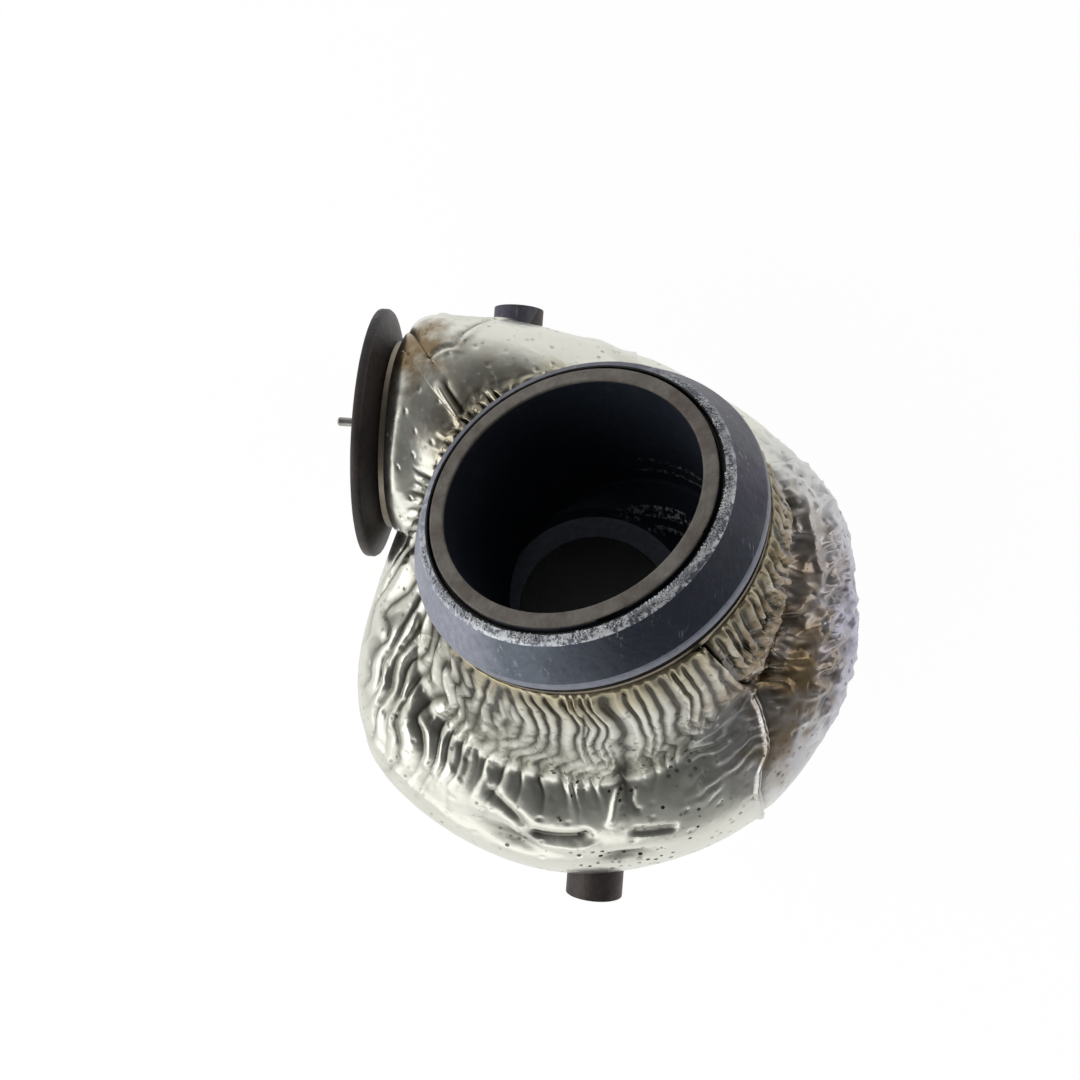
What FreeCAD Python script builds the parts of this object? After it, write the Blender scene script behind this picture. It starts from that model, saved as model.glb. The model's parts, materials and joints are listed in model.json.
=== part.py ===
import FreeCAD, Part
import math
import os

import Mesh
import Sketcher
from FreeCAD import Placement, Rotation, Vector

# Turbine housing of a turbocharger in its crinkled foil heat cover.
# Frame: the turbine axis is +Z and the bearing side face lies on z = 0, centred on the origin.
# The gas inlet faces -X, and the outlet elbow leans towards -X and +Y.

DIMENSIONS = {
    # Outlet flange: place of its face, lean of its axis and depths below the face
    "outlet_x": -12.1,
    "outlet_y": 40.1,
    "outlet_z": 143.0,
    "outlet_lean": 36.0,
    "outlet_heading": 126.5,
    "outlet_bore_radius": 40.0,
    "spigot_radius": 44.3,
    "groove_outer_radius": 45.7,
    "groove_depth": 4.2,
    "lip_radius": 48.1,
    "lip_depth": 0.9,
    "lip_edge_depth": 1.5,
    "rim_shoulder_radius": 55.0,
    "rim_shoulder_depth": 12.4,
    "rim_radius": 55.8,
    "rim_top_depth": 14.0,
    "rim_bottom_depth": 16.4,
    "flange_root_depth": 20.0,
    "outlet_neck_radius": 46.5,
    "outlet_neck_end": 62.0,
    "outlet_bore_end": 56.0,
    "elbow_start_radius": 36.0,
    "elbow_start_height": 73.0,
    "elbow_mid_x": 4.0,
    "elbow_mid_y": 5.0,
    "elbow_mid_z": 84.0,
    "elbow_mid_lean": 18.0,
    "elbow_mid_radius": 38.0,
    "elbow_end_radius": 39.0,
    # Turbine axis bores, from the bearing side up
    "base_flange_radius": 52.0,
    "base_rim_height": 3.2,
    "base_root_radius": 47.0,
    "base_root_height": 8.0,
    "hub_height": 78.0,
    "bearing_bore_radius": 41.0,
    "bearing_bore_height": 9.0,
    "chamber_radius": 36.0,
    "nozzle_floor": 46.5,
    "nozzle_radius": 47.0,
    "nozzle_height": 57.5,
    "exducer_radius": 27.5,
    "exducer_height": 68.0,
    "shoulder_radius": 37.5,
    "shoulder_height": 71.5,
    "shoulder_end": 76.0,
    # Scroll and inlet
    "scroll_height": 52.5,
    "scroll_wall": 5.0,
    "inlet_y": 60.0,
    "inlet_face": 86.5,
    "inlet_bore_radius": 29.0,
    "duct_radius": 34.0,
    "duct_taper_start": 50.0,
    "scroll_start_radius": 29.5,
    "inlet_rim_radius": 46.0,
    "inlet_rim_width": 2.6,
    "inlet_cone_width": 7.0,
    "inlet_neck_radius": 33.5,
    "inlet_neck_width": 11.0,
    "inlet_seat_radius": 34.5,
    "inlet_seat_depth": 1.6,
    # Bosses and dowel
    "lower_boss_x": 7.4,
    "lower_boss_reach": 105.0,
    "lower_boss_radius": 10.5,
    "upper_boss_x": -36.7,
    "upper_boss_reach": 110.0,
    "upper_boss_radius": 9.2,
    "boss_clearance": 0.3,
    "tapping_radius": 3.4,
    "tapping_depth": 15.0,
    "dowel_radius": 1.5,
    "dowel_root_radius": 1.25,
    "dowel_proud": 6.3,
    "dowel_buried": 5.0,
    "dowel_offset": 38.5,
    "dowel_chamfer": 0.5,
    # Hems that hold the foil
    "outlet_hem_radius": 55.3,
    "outlet_hem_bore": 46.5,
    "outlet_hem_depth": 19.2,
    "outlet_hem_height": 2.1,
    "outlet_hem_web": 0.8,
    "base_hem_radius": 50.8,
    "base_hem_bore": 47.0,
    "base_hem_height": 9.4,
    "base_hem_width": 3.6,
    "inlet_hem_radius": 34.7,
    "inlet_hem_bore": 34.0,
    "inlet_hem_near": 7.2,
    "inlet_hem_far": 9.6,
    # Foil cover
    "foil_thickness": 0.4,
    "foil_gap": 0.06,
    "mat_gap": 3.4,
    "mat_thickness": 2.8,
    "mat_clearance": 0.8,
    "duct_cover_half_width": 44.8,
    "duct_cover_narrowing": 4.2,
    "duct_cover_corner": 26.0,
    "cover_neck_radius": 35.9,
    "cover_neck_x": -77.3,
    "pleat_count": 96,
    "pleat_depth": 1.5,
}

document = FreeCAD.newDocument("turbine_housing")
sizes = document.addObject("Spreadsheet::Sheet", "Sizes")
for row, (alias, number) in enumerate(DIMENSIONS.items(), start=1):
    sizes.set(f"A{row}", alias)
    sizes.set(f"B{row}", str(number))
    sizes.setAlias(f"B{row}", alias)
document.recompute()


def size(alias):
    """Return one driving dimension from the sheet."""
    return float(sizes.get(alias))


def total(terms):
    """Return the number that a sum such as "rim_radius + lip_depth" stands for."""
    amount = 0.0
    sign = 1.0
    for word in terms.split():
        if word in ("+", "-"):
            sign = 1.0 if word == "+" else -1.0
        elif word != "0":
            amount += sign * size(word)
    return amount


def cells(terms):
    """Return the same sum as an expression on the sheet."""
    words = []
    for word in terms.split():
        words.append(word if word in ("+", "-", "0") else f"Sizes.{word}")
    return " ".join(words)


UPRIGHT = Vector(0, 0, 1)
OUTLET_HEADING = Rotation(UPRIGHT, size("outlet_heading"))
OUTLET_TURN = OUTLET_HEADING * Rotation(Vector(0, 1, 0), size("outlet_lean")) * OUTLET_HEADING.inverted()
OUTLET_FACE = Vector(size("outlet_x"), size("outlet_y"), size("outlet_z"))
OUTLET_AXIS = OUTLET_TURN.multVec(UPRIGHT)
# Local frame of the outlet: its z runs down into the housing from the flange face
OUTLET_DOWN = Placement(OUTLET_FACE, OUTLET_TURN * Rotation(Vector(1, 0, 0), 180))
# Local frame of the inlet: its z runs into the housing from the flange face
INLET_FACE = Vector(-size("inlet_face"), size("inlet_y"), size("scroll_height"))
INLET_IN = Placement(INLET_FACE, Rotation(Vector(0, 1, 0), 90))


def origin_plane(body, role):
    """Return one of a body's own origin planes or axes."""
    for feature in body.Origin.OriginFeatures:
        if feature.Role == role:
            return feature
    raise ValueError(role)


def add_corner_limits(sketch, index, across, up):
    """Tie the start of one line to the sheet: across from the upright axis, up from the level one."""
    for kind, terms, axis in (("DistanceX", across, -2), ("DistanceY", up, -1)):
        if terms == "0":
            sketch.addConstraint(Sketcher.Constraint("PointOnObject", index, 1, axis))
        else:
            number = sketch.addConstraint(Sketcher.Constraint(kind, -1, 1, index, 1, total(terms)))
            sketch.setExpression(f"Constraints[{number}]", cells(terms))


def turned_body(label, corners, placement=Placement()):
    """Make a body turned from a closed outline; each corner is (radius, distance along the axis)."""
    body = document.addObject("PartDesign::Body", label)
    body.Label = label
    sketch = body.newObject("Sketcher::SketchObject", f"{label}_outline")
    sketch.AttachmentSupport = (origin_plane(body, "XZ_Plane"), [""])
    sketch.MapMode = "FlatFace"
    points = [Vector(total(across), total(up), 0) for across, up in corners]
    for index, point in enumerate(points):
        sketch.addGeometry(Part.LineSegment(point, points[(index + 1) % len(points)]), False)
    for index, (across, up) in enumerate(corners):
        sketch.addConstraint(Sketcher.Constraint("Coincident", index, 2, (index + 1) % len(points), 1))
        add_corner_limits(sketch, index, across, up)
    document.recompute()
    turn = body.newObject("PartDesign::Revolution", f"{label}_turn")
    turn.Profile = sketch
    turn.ReferenceAxis = (sketch, ["V_Axis"])
    turn.Angle = 360
    body.Tip = turn
    body.Placement = placement
    document.recompute()
    return body


def cylinder(label, radius, height, placement):
    """Make a cylinder bound to the sheet, standing on the placement's origin along its z."""
    solid = document.addObject("Part::Cylinder", label)
    solid.setExpression("Radius", cells(radius))
    solid.setExpression("Height", cells(height))
    solid.Placement = placement
    return solid


def join(label, parts):
    """Fuse several objects one after the other."""
    fused = parts[0]
    for index, part in enumerate(parts[1:], start=1):
        pair = document.addObject("Part::Fuse", f"{label}_{index}")
        pair.Base = fused
        pair.Tool = part
        pair.Refine = False
        fused = pair
    fused.Label = label
    return fused


# Plan outline of the foil cover at the scroll's mid height


def smooth_step(low, high, at):
    """Rise smoothly from 0 at low to 1 at high."""
    share = min(1.0, max(0.0, (at - low) / (high - low)))
    return share * share * (3 - 2 * share)


def way_round(azimuth):
    """Return how far the gas has gone round the scroll, clockwise from azimuth 100, in turns."""
    return ((100.0 - azimuth) % 360.0) / 360.0


SCROLL_PLAN = (95.5, 94.5, 91.3, 96.3, 95.0, 81.0, 82.2, 96.0, 97.4, 96.4, 96.2, 95.8)


def scroll_cover_radius(azimuth):
    """Return the cover's plan radius round the scroll, from twelve radii 30 degrees apart."""
    place = (azimuth % 360.0) / 30.0
    first = int(place)
    share = place - first
    before, near, far, after = [SCROLL_PLAN[(first + step) % 12] for step in (-1, 0, 1, 2)]
    bend = (2 * before - 5 * near + 4 * far - after) * share ** 2
    twist = (3 * near - before - 3 * far + after) * share ** 3
    return near + 0.5 * ((far - before) * share + bend + twist)


def in_cover_plan(x, y):
    """Tell whether a point lies inside the cover's plan: the scroll, or the inlet duct with its round shoulder."""
    if math.hypot(x, y) < scroll_cover_radius(math.degrees(math.atan2(y, x))):
        return True
    shoulder_x = size("cover_neck_x") + size("duct_cover_corner")
    if x > 8.0 or x < size("cover_neck_x"):
        return False
    half_width = size("duct_cover_half_width") - size("duct_cover_narrowing") * smooth_step(-50.0, -10.0, x)
    half_width -= 4.0 * smooth_step(-8.0, 6.0, x)
    end_share = max(0.0, (shoulder_x - x) / size("duct_cover_corner"))
    return abs(y - size("inlet_y")) < half_width * (1.0 - end_share ** 6) ** (1.0 / 6.0)


def section_radius(azimuth):
    """Return the radius of the cover's section at an azimuth."""
    share = way_round(azimuth)
    scroll = 41.5 - 9.0 * share - 2.0 * smooth_step(0.60, 0.74, share)
    duct_share = smooth_step(0.765, 0.825, share)
    return scroll + (41.5 - scroll) * duct_share


# Foil cover as a surface: heading runs round the outlet neck, and reach runs 0 at the outlet hem,
# 1 at the scroll's mid height and 2 at the bearing side hem

HEM_CENTRE = OUTLET_FACE - OUTLET_AXIS * 20.8
FOIL_HEM_RADIUS = size("outlet_hem_radius") + size("foil_thickness") + size("foil_gap")
CIRCLE_HANDLE = 0.5523


def bezier(points, share):
    """Return the point at a share of the way along a cubic with four control points."""
    rest = 1.0 - share
    weights = (rest ** 3, 3 * rest * rest * share, 3 * rest * share * share, share ** 3)
    place = Vector()
    for weight, point in zip(weights, points):
        place += point * weight
    return place


def edge_point(heading):
    """Return the cover's edge in plan in one direction from the middle of the outlet hem."""
    run = math.cos(math.radians(heading))
    rise = math.sin(math.radians(heading))
    near, far = 10.0, 190.0
    for step in range(30):
        middle = (near + far) / 2
        x = HEM_CENTRE.x + middle * run
        y = HEM_CENTRE.y + middle * rise
        if in_cover_plan(x, y):
            near = middle
        else:
            far = middle
    return Vector(HEM_CENTRE.x + near * run, HEM_CENTRE.y + near * rise, size("scroll_height"))


EDGE_POINTS = [edge_point(heading / 2.0) for heading in range(720)]


def edge_at(heading):
    """Return the edge point for any heading from the half degree list."""
    place = (heading % 360.0) * 2.0
    first = int(place)
    share = place - first
    return EDGE_POINTS[first % 720] * (1 - share) + EDGE_POINTS[(first + 1) % 720] * share


def neck_end(edge, side):
    """Lift an edge point at the duct's end onto the neck ring, and return it with how far it is lifted."""
    if edge.x > size("cover_neck_x") + 1.4:
        return edge, 0.0
    across = (edge.y - size("inlet_y")) / size("cover_neck_radius")
    if abs(across) >= 1.0:
        return edge, 0.0
    lift = math.sqrt(1.0 - across * across)
    return edge + Vector(0, 0, side * lift * size("cover_neck_radius")), lift


def cover_point(heading, reach):
    """Return the smooth cover's point at a heading and a reach."""
    edge = edge_at(heading)
    azimuth = math.degrees(math.atan2(edge.y, edge.x))
    cover_section = section_radius(azimuth)
    side = 1.0 if reach <= 1.0 else -1.0
    end, lift = neck_end(edge, side)
    radial = Vector(0, edge.y - size("inlet_y"), end.z - size("scroll_height"))
    if radial.Length > 0.1:
        radial.normalize()
    bell = (Vector(5.0, 0, 0) + radial * 8.0) * min(1.0, lift * 1.4)
    upright = Vector(0, 0, side * CIRCLE_HANDLE * cover_section) * max(0.0, 1.0 - lift * 1.4)
    if reach <= 1.0:
        return front_point(heading, reach, end, bell + upright, cover_section, lift)
    return rear_point(azimuth, reach - 1.0, end, bell + upright, cover_section)


def front_point(heading, reach, end, end_handle, cover_section, lift):
    """Return a point between the outlet hem and the scroll's mid height."""
    way = math.radians(heading)
    hem = HEM_CENTRE + OUTLET_TURN.multVec(Vector(math.cos(way), math.sin(way), 0)) * FOIL_HEM_RADIUS
    outward = Vector(end.x - hem.x, end.y - hem.y, 0)
    gap = outward.Length
    outward.normalize()
    crown_height = size("scroll_height") + cover_section
    width = min(cover_section, 0.72 * gap)
    flat = smooth_step(12.0, 40.0, gap)
    crown = Vector(end.x, end.y, crown_height - (1 - flat) * 12.0) - outward * width
    crown_way = outward * flat - UPRIGHT * (1 - flat) * 0.9
    crown_way.normalize()
    drop = max(0.0, hem.z - crown.z)
    leave = OUTLET_AXIS * (-0.5 * drop / OUTLET_AXIS.z) + outward * (0.25 * (gap - width))
    arrive = crown_way * (0.30 * max(gap - width, 6.0))
    if reach < 0.5:
        return bezier((hem, hem + leave, crown - arrive, crown), reach * 2)
    handle = crown_way * (CIRCLE_HANDLE * width)
    return bezier((crown, crown + handle, end + end_handle, end), reach * 2 - 1)


def rear_point(azimuth, share, end, end_handle, cover_section):
    """Return a point between the scroll's mid height and the bearing side hem."""
    turn = Vector(math.cos(math.radians(azimuth)), math.sin(math.radians(azimuth)), 0)
    hem_height = size("base_hem_height") + size("base_hem_width") / 2
    hem = turn * (size("base_hem_radius") + size("foil_thickness") + size("foil_gap")) + UPRIGHT * hem_height
    gap = math.hypot(end.x - hem.x, end.y - hem.y)
    low = size("scroll_height") - cover_section
    inner = hem + turn * (0.72 * gap)
    inner.z = low - 1.5
    return bezier((end, end + end_handle * 1.25, inner, hem), share)


def wobble(heading, reach):
    """Return the slow dents and bulges of the hand formed foil, in millimetres outward."""
    turn = math.radians(heading)
    slow = 0.7 * math.sin(3 * turn + 5 * reach) * math.sin(4.0 * reach + 1.3)
    return slow + 0.4 * math.sin(11 * turn - 7 * reach)


def pleat(heading, reach):
    """Return the height of the gathers round the outlet hem: sharp folds that fade down the neck."""
    count = size("pleat_count")
    phase = (heading * count / 360.0) % 1.0
    ridge = 1.0 - abs(2.0 * phase - 1.0)
    fold = int(heading * count / 360.0) % int(count)
    length = 0.24 + 0.08 * math.sin(fold * 2.4) + 0.05 * math.sin(fold * 5.1)
    fade = smooth_step(0.0, 0.05, reach) * smooth_step(length, length * 0.4, reach)
    return size("pleat_depth") * ridge * fade


def dent(heading, reach):
    """Return the two pressed dents low on the front of the cover."""
    hollow = 0.0
    for middle, level, wide, tall, deep in ((262, 0.70, 9.0, 0.055, 3.2), (281, 0.745, 5.0, 0.03, 2.2)):
        far = ((heading - middle) / wide) ** 2 + ((reach - level) / tall) ** 2
        hollow += deep * math.exp(-far)
    return hollow


def foil_point(heading, reach, depth, pleated):
    """Return the formed foil's point, moved inward by a depth."""
    place = cover_point(heading, reach)
    step_round = cover_point(heading + 0.5, reach) - cover_point(heading - 0.5, reach)
    low = min(max(reach - 0.01, 0.0), 1.99)
    if low < 1.0 < low + 0.02:
        low = 0.98 if reach <= 1.0 else 1.0001
    step_down = cover_point(heading, low + 0.0199) - cover_point(heading, low)
    normal = step_down.cross(step_round)
    normal.normalize()
    lift = -depth - pinned(reach) * dent(heading, reach)
    if pleated:
        lift += pinned(reach) * wobble(heading, reach) + pleat(heading, reach)
    return place + normal * lift


def pinned(reach):
    """Fade the dents out where a hem or a seam holds the foil."""
    at_hems = smooth_step(0.0, 0.12, reach) * smooth_step(2.0, 1.85, reach)
    return at_hems * (1.0 - 0.8 * math.exp(-((reach - 1.0) / 0.06) ** 2))


def seam_reach(heading):
    """Return where the front foils end: at mid height, but higher up beside the inlet duct's end."""
    return 1.0 - 0.16 * smooth_step(108.0, 122.0, heading) * smooth_step(131.0, 127.0, heading)


def rear_start(heading):
    """Return where the rear foils begin, just past the front foils' end."""
    return seam_reach(heading) + 0.0005


def rows_of(first, last, start, end, counts, depth, pleated):
    """Return rows of points; start and end give the reach at a heading, and counts the steps of each row."""
    rows = []
    for index, steps in enumerate(counts):
        share = index / (len(counts) - 1)
        row_points = []
        for step in range(steps + 1):
            heading = first + (last - first) * step / steps
            reach = start(heading) + (end(heading) - start(heading)) * share
            row_points.append(foil_point(heading, reach, depth, pleated))
        rows.append(row_points)
    return rows


def strip(upper, lower):
    """Return the triangles between two rows that share their end headings."""
    triangles = []
    i, j = 0, 0
    while i < len(upper) - 1 or j < len(lower) - 1:
        next_upper = (i + 1) / (len(upper) - 1)
        next_lower = (j + 1) / (len(lower) - 1)
        if j >= len(lower) - 1 or (i < len(upper) - 1 and next_upper <= next_lower):
            triangles.append((upper[i], upper[i + 1], lower[j]))
            i += 1
        else:
            triangles.append((upper[i], lower[j + 1], lower[j]))
            j += 1
    return triangles


def wall_strip(outer, inner):
    """Return the triangles that close the cut edge between the outer and the inner face."""
    triangles = []
    for index in range(len(outer) - 1):
        triangles.append((outer[index], inner[index], outer[index + 1]))
        triangles.append((outer[index + 1], inner[index], inner[index + 1]))
    return triangles


def folded_solid(outer, inner):
    """Make a closed solid from two matching sets of rows."""
    triangles = []
    for upper, lower in zip(outer, outer[1:]):
        triangles += strip(upper, lower)
    for upper, lower in zip(inner, inner[1:]):
        triangles += [(a, c, b) for a, b, c in strip(upper, lower)]
    triangles += wall_strip(outer[0], inner[0])
    triangles += [(a, c, b) for a, b, c in wall_strip(outer[-1], inner[-1])]
    triangles += [(a, c, b) for a, b, c in wall_strip([r[0] for r in outer], [r[0] for r in inner])]
    triangles += wall_strip([r[-1] for r in outer], [r[-1] for r in inner])
    mesh = Mesh.Mesh([point for triangle in triangles for point in triangle])
    shell = Part.Shape()
    shell.makeShapeFromMesh(mesh.Topology, 0.0005)
    solid = Part.makeSolid(shell)
    if solid.Volume < 0:
        solid.reverse()
    return solid


def sheet_part(label, shape):
    """Add a formed sheet to the document."""
    part = document.addObject("Part::Feature", label)
    part.Label = label
    part.Shape = shape
    part.Placement = Placement()
    return part


# Cast housing


def scroll_station(azimuth):
    """Return the middle and radius of the cast scroll's section at an azimuth."""
    share = way_round(azimuth)
    radius = size("scroll_start_radius") - 8.0 * (share if azimuth < 80.0 else 0.0)
    orbit = scroll_cover_radius(azimuth) - 8.5 - radius
    orbit += (size("inlet_y") - orbit) * smooth_step(45.0, 90.0, azimuth)
    return orbit, radius


def scroll_loft(label, wall, first, last, stations):
    """Loft round sections along the scroll, thinner than the outside by a wall."""
    circles = []
    for index in range(stations):
        azimuth = first + (last - first) * index / (stations - 1)
        orbit, radius = scroll_station(azimuth)
        circle = document.addObject("Part::RegularPolygon", f"{label}_section")
        circle.Polygon = 20
        circle.Circumradius = radius - wall
        turn = Rotation(UPRIGHT, azimuth) * Rotation(Vector(1, 0, 0), 90)
        place = Rotation(UPRIGHT, azimuth).multVec(Vector(orbit, 0, size("scroll_height")))
        circle.Placement = Placement(place, turn)
        circles.append(circle)
    loft = document.addObject("Part::Loft", label)
    loft.Sections = circles
    loft.Solid = True
    loft.Ruled = True
    return loft


def upright_at(x, y, z):
    """Return a placement with no turn."""
    return Placement(Vector(x, y, z), Rotation())


def outlet_flange():
    """Turn the outlet's V band flange: spigot, groove, lip, cone, rim and root."""
    return turned_body("outlet_flange", [
        ("0", "0"),
        ("spigot_radius", "0"),
        ("spigot_radius", "groove_depth"),
        ("groove_outer_radius", "groove_depth"),
        ("groove_outer_radius", "lip_depth"),
        ("lip_radius", "lip_edge_depth"),
        ("rim_shoulder_radius", "rim_shoulder_depth"),
        ("rim_radius", "rim_top_depth"),
        ("rim_radius", "rim_bottom_depth"),
        ("outlet_neck_radius", "flange_root_depth"),
        ("outlet_neck_radius", "outlet_neck_end"),
        ("0", "outlet_neck_end"),
    ], OUTLET_DOWN)


def inlet_flange():
    """Turn the inlet's V band flange with its gasket seat and back cone."""
    return turned_body("inlet_flange", [
        ("inlet_bore_radius", "inlet_seat_depth"),
        ("inlet_seat_radius", "inlet_seat_depth"),
        ("inlet_seat_radius", "0"),
        ("inlet_rim_radius", "0"),
        ("inlet_rim_radius", "inlet_rim_width"),
        ("inlet_neck_radius", "inlet_cone_width"),
        ("inlet_neck_radius", "inlet_neck_width"),
        ("inlet_bore_radius", "inlet_neck_width"),
    ], INLET_IN)


def base_flange():
    """Turn the bearing side flange and the hub over it."""
    return turned_body("base_flange", [
        ("0", "0"),
        ("base_flange_radius", "0"),
        ("base_flange_radius", "base_rim_height"),
        ("base_root_radius", "base_root_height"),
        ("base_root_radius", "hub_height"),
        ("0", "hub_height"),
    ])


def turbine_bore():
    """Turn the space on the turbine axis: bearing seat, wheel chamber, nozzle, exducer and shoulder."""
    return turned_body("turbine_bore", [
        ("0", "0"),
        ("bearing_bore_radius", "0"),
        ("bearing_bore_radius", "bearing_bore_height"),
        ("chamber_radius", "bearing_bore_height"),
        ("chamber_radius", "nozzle_floor"),
        ("nozzle_radius", "nozzle_floor"),
        ("nozzle_radius", "nozzle_height"),
        ("exducer_radius", "nozzle_height"),
        ("exducer_radius", "exducer_height"),
        ("shoulder_radius", "shoulder_height"),
        ("shoulder_radius", "shoulder_end"),
        ("0", "shoulder_end"),
    ])


def elbow_loft(label, wall, start_drop):
    """Loft the elbow from the turbine axis to the outlet, wider than its passage by a wall."""
    lean = OUTLET_HEADING * Rotation(Vector(0, 1, 0), size("elbow_mid_lean")) * OUTLET_HEADING.inverted()
    middle = Placement(Vector(size("elbow_mid_x"), size("elbow_mid_y"), size("elbow_mid_z")), lean)
    end = Placement(OUTLET_FACE - OUTLET_AXIS * (size("outlet_bore_end") - 2.0), OUTLET_TURN)
    sections = [
        ("elbow_start_radius", upright_at(0, 0, size("elbow_start_height") - start_drop)),
        ("elbow_mid_radius", middle),
        ("elbow_end_radius", end),
    ]
    circles = []
    for radius, placement in sections:
        circle = document.addObject("Part::Circle", f"{label}_section")
        circle.setExpression("Radius", f"Sizes.{radius} + {wall}")
        circle.Placement = placement
        circles.append(circle)
    loft = document.addObject("Part::Loft", label)
    loft.Sections = circles
    loft.Solid = True
    return loft


def boss(label, x, reach, radius, facing):
    """Make a round boss on the scroll's mid height that faces +Y or -Y, and its tapping hole."""
    turn = Rotation(Vector(1, 0, 0), -90 * facing)
    root = Placement(Vector(size(x), 0, size("scroll_height")), turn)
    root.Base.y = facing * 55.0
    stub = document.addObject("Part::Cylinder", label)
    stub.setExpression("Radius", cells(radius))
    stub.setExpression("Height", f"Sizes.{reach} - 55")
    stub.Placement = root
    hole_end = Vector(size(x), facing * (size(reach) - size("tapping_depth")), size("scroll_height"))
    hole = cylinder(f"{label}_hole", "tapping_radius", "tapping_depth + tapping_depth", Placement(hole_end, turn))
    return stub, hole


def housing():
    """Cast the turbine housing: scroll, duct, elbow neck, three flanges and two bosses, bored through."""
    scroll = scroll_loft("scroll", 0.0, 90.0, -180.0, 13)
    duct = turned_body("duct", [
        ("0", "inlet_cone_width"),
        ("duct_radius", "inlet_cone_width"),
        ("duct_radius", "duct_taper_start"),
        ("scroll_start_radius", "inlet_face"),
        ("0", "inlet_face"),
    ], INLET_IN)
    lower_stub, lower_hole = boss("lower_boss", "lower_boss_x", "lower_boss_reach", "lower_boss_radius", -1)
    upper_stub, upper_hole = boss("upper_boss", "upper_boss_x", "upper_boss_reach", "upper_boss_radius", 1)
    elbow = elbow_loft("elbow_outside", 7.0, 4.0)
    flanges = [outlet_flange(), inlet_flange(), base_flange()]
    outside = join("outside", [scroll, duct, elbow] + flanges + [lower_stub, upper_stub])
    passage = scroll_loft("passage", size("scroll_wall"), 90.0, -180.0, 13)
    inlet_bore = turned_body("inlet_bore", [
        ("0", "0"),
        ("inlet_bore_radius", "0"),
        ("inlet_bore_radius", "duct_taper_start"),
        ("scroll_start_radius - scroll_wall", "inlet_face"),
        ("0", "inlet_face"),
    ], INLET_IN)
    dowel_place = Placement(INLET_FACE + Vector(0, 0, size("dowel_offset")), INLET_IN.Rotation)
    dowel_hole = cylinder("dowel_hole", "dowel_root_radius", "dowel_buried", dowel_place)
    outlet_bore = cylinder("outlet_bore", "outlet_bore_radius", "outlet_bore_end", OUTLET_DOWN)
    elbow_passage = elbow_loft("elbow_passage", 0.0, 0.0)
    bores = [passage, inlet_bore, outlet_bore, elbow_passage, turbine_bore()]
    inside = join("inside", bores + [lower_hole, upper_hole, dowel_hole])
    cast = document.addObject("Part::Cut", "turbine_housing")
    cast.Label = "turbine_housing"
    cast.Base = outside
    cast.Tool = inside
    cast.Refine = False
    document.recompute()
    return cast


def dowel():
    """Turn the dowel pin that stands in the inlet flange's face."""
    root = INLET_FACE + Vector(size("dowel_buried"), 0, size("dowel_offset"))
    place = Placement(root, Rotation(Vector(0, 1, 0), -90))
    return turned_body("inlet_dowel_pin", [
        ("0", "0"),
        ("dowel_root_radius", "0"),
        ("dowel_root_radius", "dowel_buried"),
        ("dowel_radius", "dowel_buried"),
        ("dowel_radius", "dowel_buried + dowel_proud - dowel_chamfer"),
        ("dowel_radius - dowel_chamfer", "dowel_buried + dowel_proud"),
        ("0", "dowel_buried + dowel_proud"),
    ], place)


def hems():
    """Roll the three hem rings that hold the foil on the necks."""
    outlet = turned_body("outlet_hem_ring", [
        ("outlet_hem_bore", "outlet_hem_depth + outlet_hem_height - outlet_hem_web"),
        ("outlet_hem_radius - outlet_hem_web", "outlet_hem_depth + outlet_hem_height - outlet_hem_web"),
        ("outlet_hem_radius - outlet_hem_web", "outlet_hem_depth"),
        ("outlet_hem_radius", "outlet_hem_depth"),
        ("outlet_hem_radius", "outlet_hem_depth + outlet_hem_height"),
        ("outlet_hem_bore", "outlet_hem_depth + outlet_hem_height"),
    ], OUTLET_DOWN)
    base = turned_body("base_hem_ring", [
        ("base_hem_bore", "base_hem_height"),
        ("base_hem_radius", "base_hem_height"),
        ("base_hem_radius", "base_hem_height + base_hem_width"),
        ("base_hem_bore", "base_hem_height + base_hem_width"),
    ])
    inlet = turned_body("inlet_hem_ring", [
        ("inlet_hem_bore", "inlet_hem_near"),
        ("inlet_hem_radius", "inlet_hem_near"),
        ("inlet_hem_radius", "inlet_hem_far"),
        ("inlet_hem_bore", "inlet_hem_far"),
    ], INLET_IN)
    return [outlet, base, inlet]


def boss_clearance():
    """Return the round holes that the foil and the mats leave for the two bosses."""
    cylinders = []
    for side, facing in (("lower", -1), ("upper", 1)):
        start = Vector(size(f"{side}_boss_x"), facing * 60, size("scroll_height"))
        radius = size(f"{side}_boss_radius") + size("boss_clearance")
        cylinders.append(Part.makeCylinder(radius, 60.0, start, Vector(0, facing, 0)))
    return cylinders


def foils():
    """Form the five foil panels and cut them round the bosses."""
    lower, upper = boss_clearance()
    panels = [
        ("front_left_foil", 142.5, 315.0, 92, "front", (lower,)),
        ("front_right_foil", -45.0, 22.5, 36, "front", ()),
        ("top_foil", 22.5, 142.5, 64, "front", (upper,)),
        ("rear_left_foil", 97.5, 273.75, 47, "rear", (lower, upper)),
        ("rear_right_foil", -86.25, 97.5, 49, "rear", (lower,)),
    ]
    made = []
    for label, first, last, steps, side, holes in panels:
        if side == "front":
            counts = [steps] * 4 + [steps // 2] * 6
            start, end = (lambda heading: 0.0), seam_reach
        else:
            counts = [steps] * 7
            start, end = rear_start, (lambda heading: 2.0)
        outer = rows_of(first, last, start, end, counts, 0.0, True)
        inner = rows_of(first, last, start, end, counts, size("foil_thickness"), True)
        shape = folded_solid(outer, inner)
        for hole in holes:
            shape = shape.cut(hole)
        made.append(sheet_part(label, shape))
    return made


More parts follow.
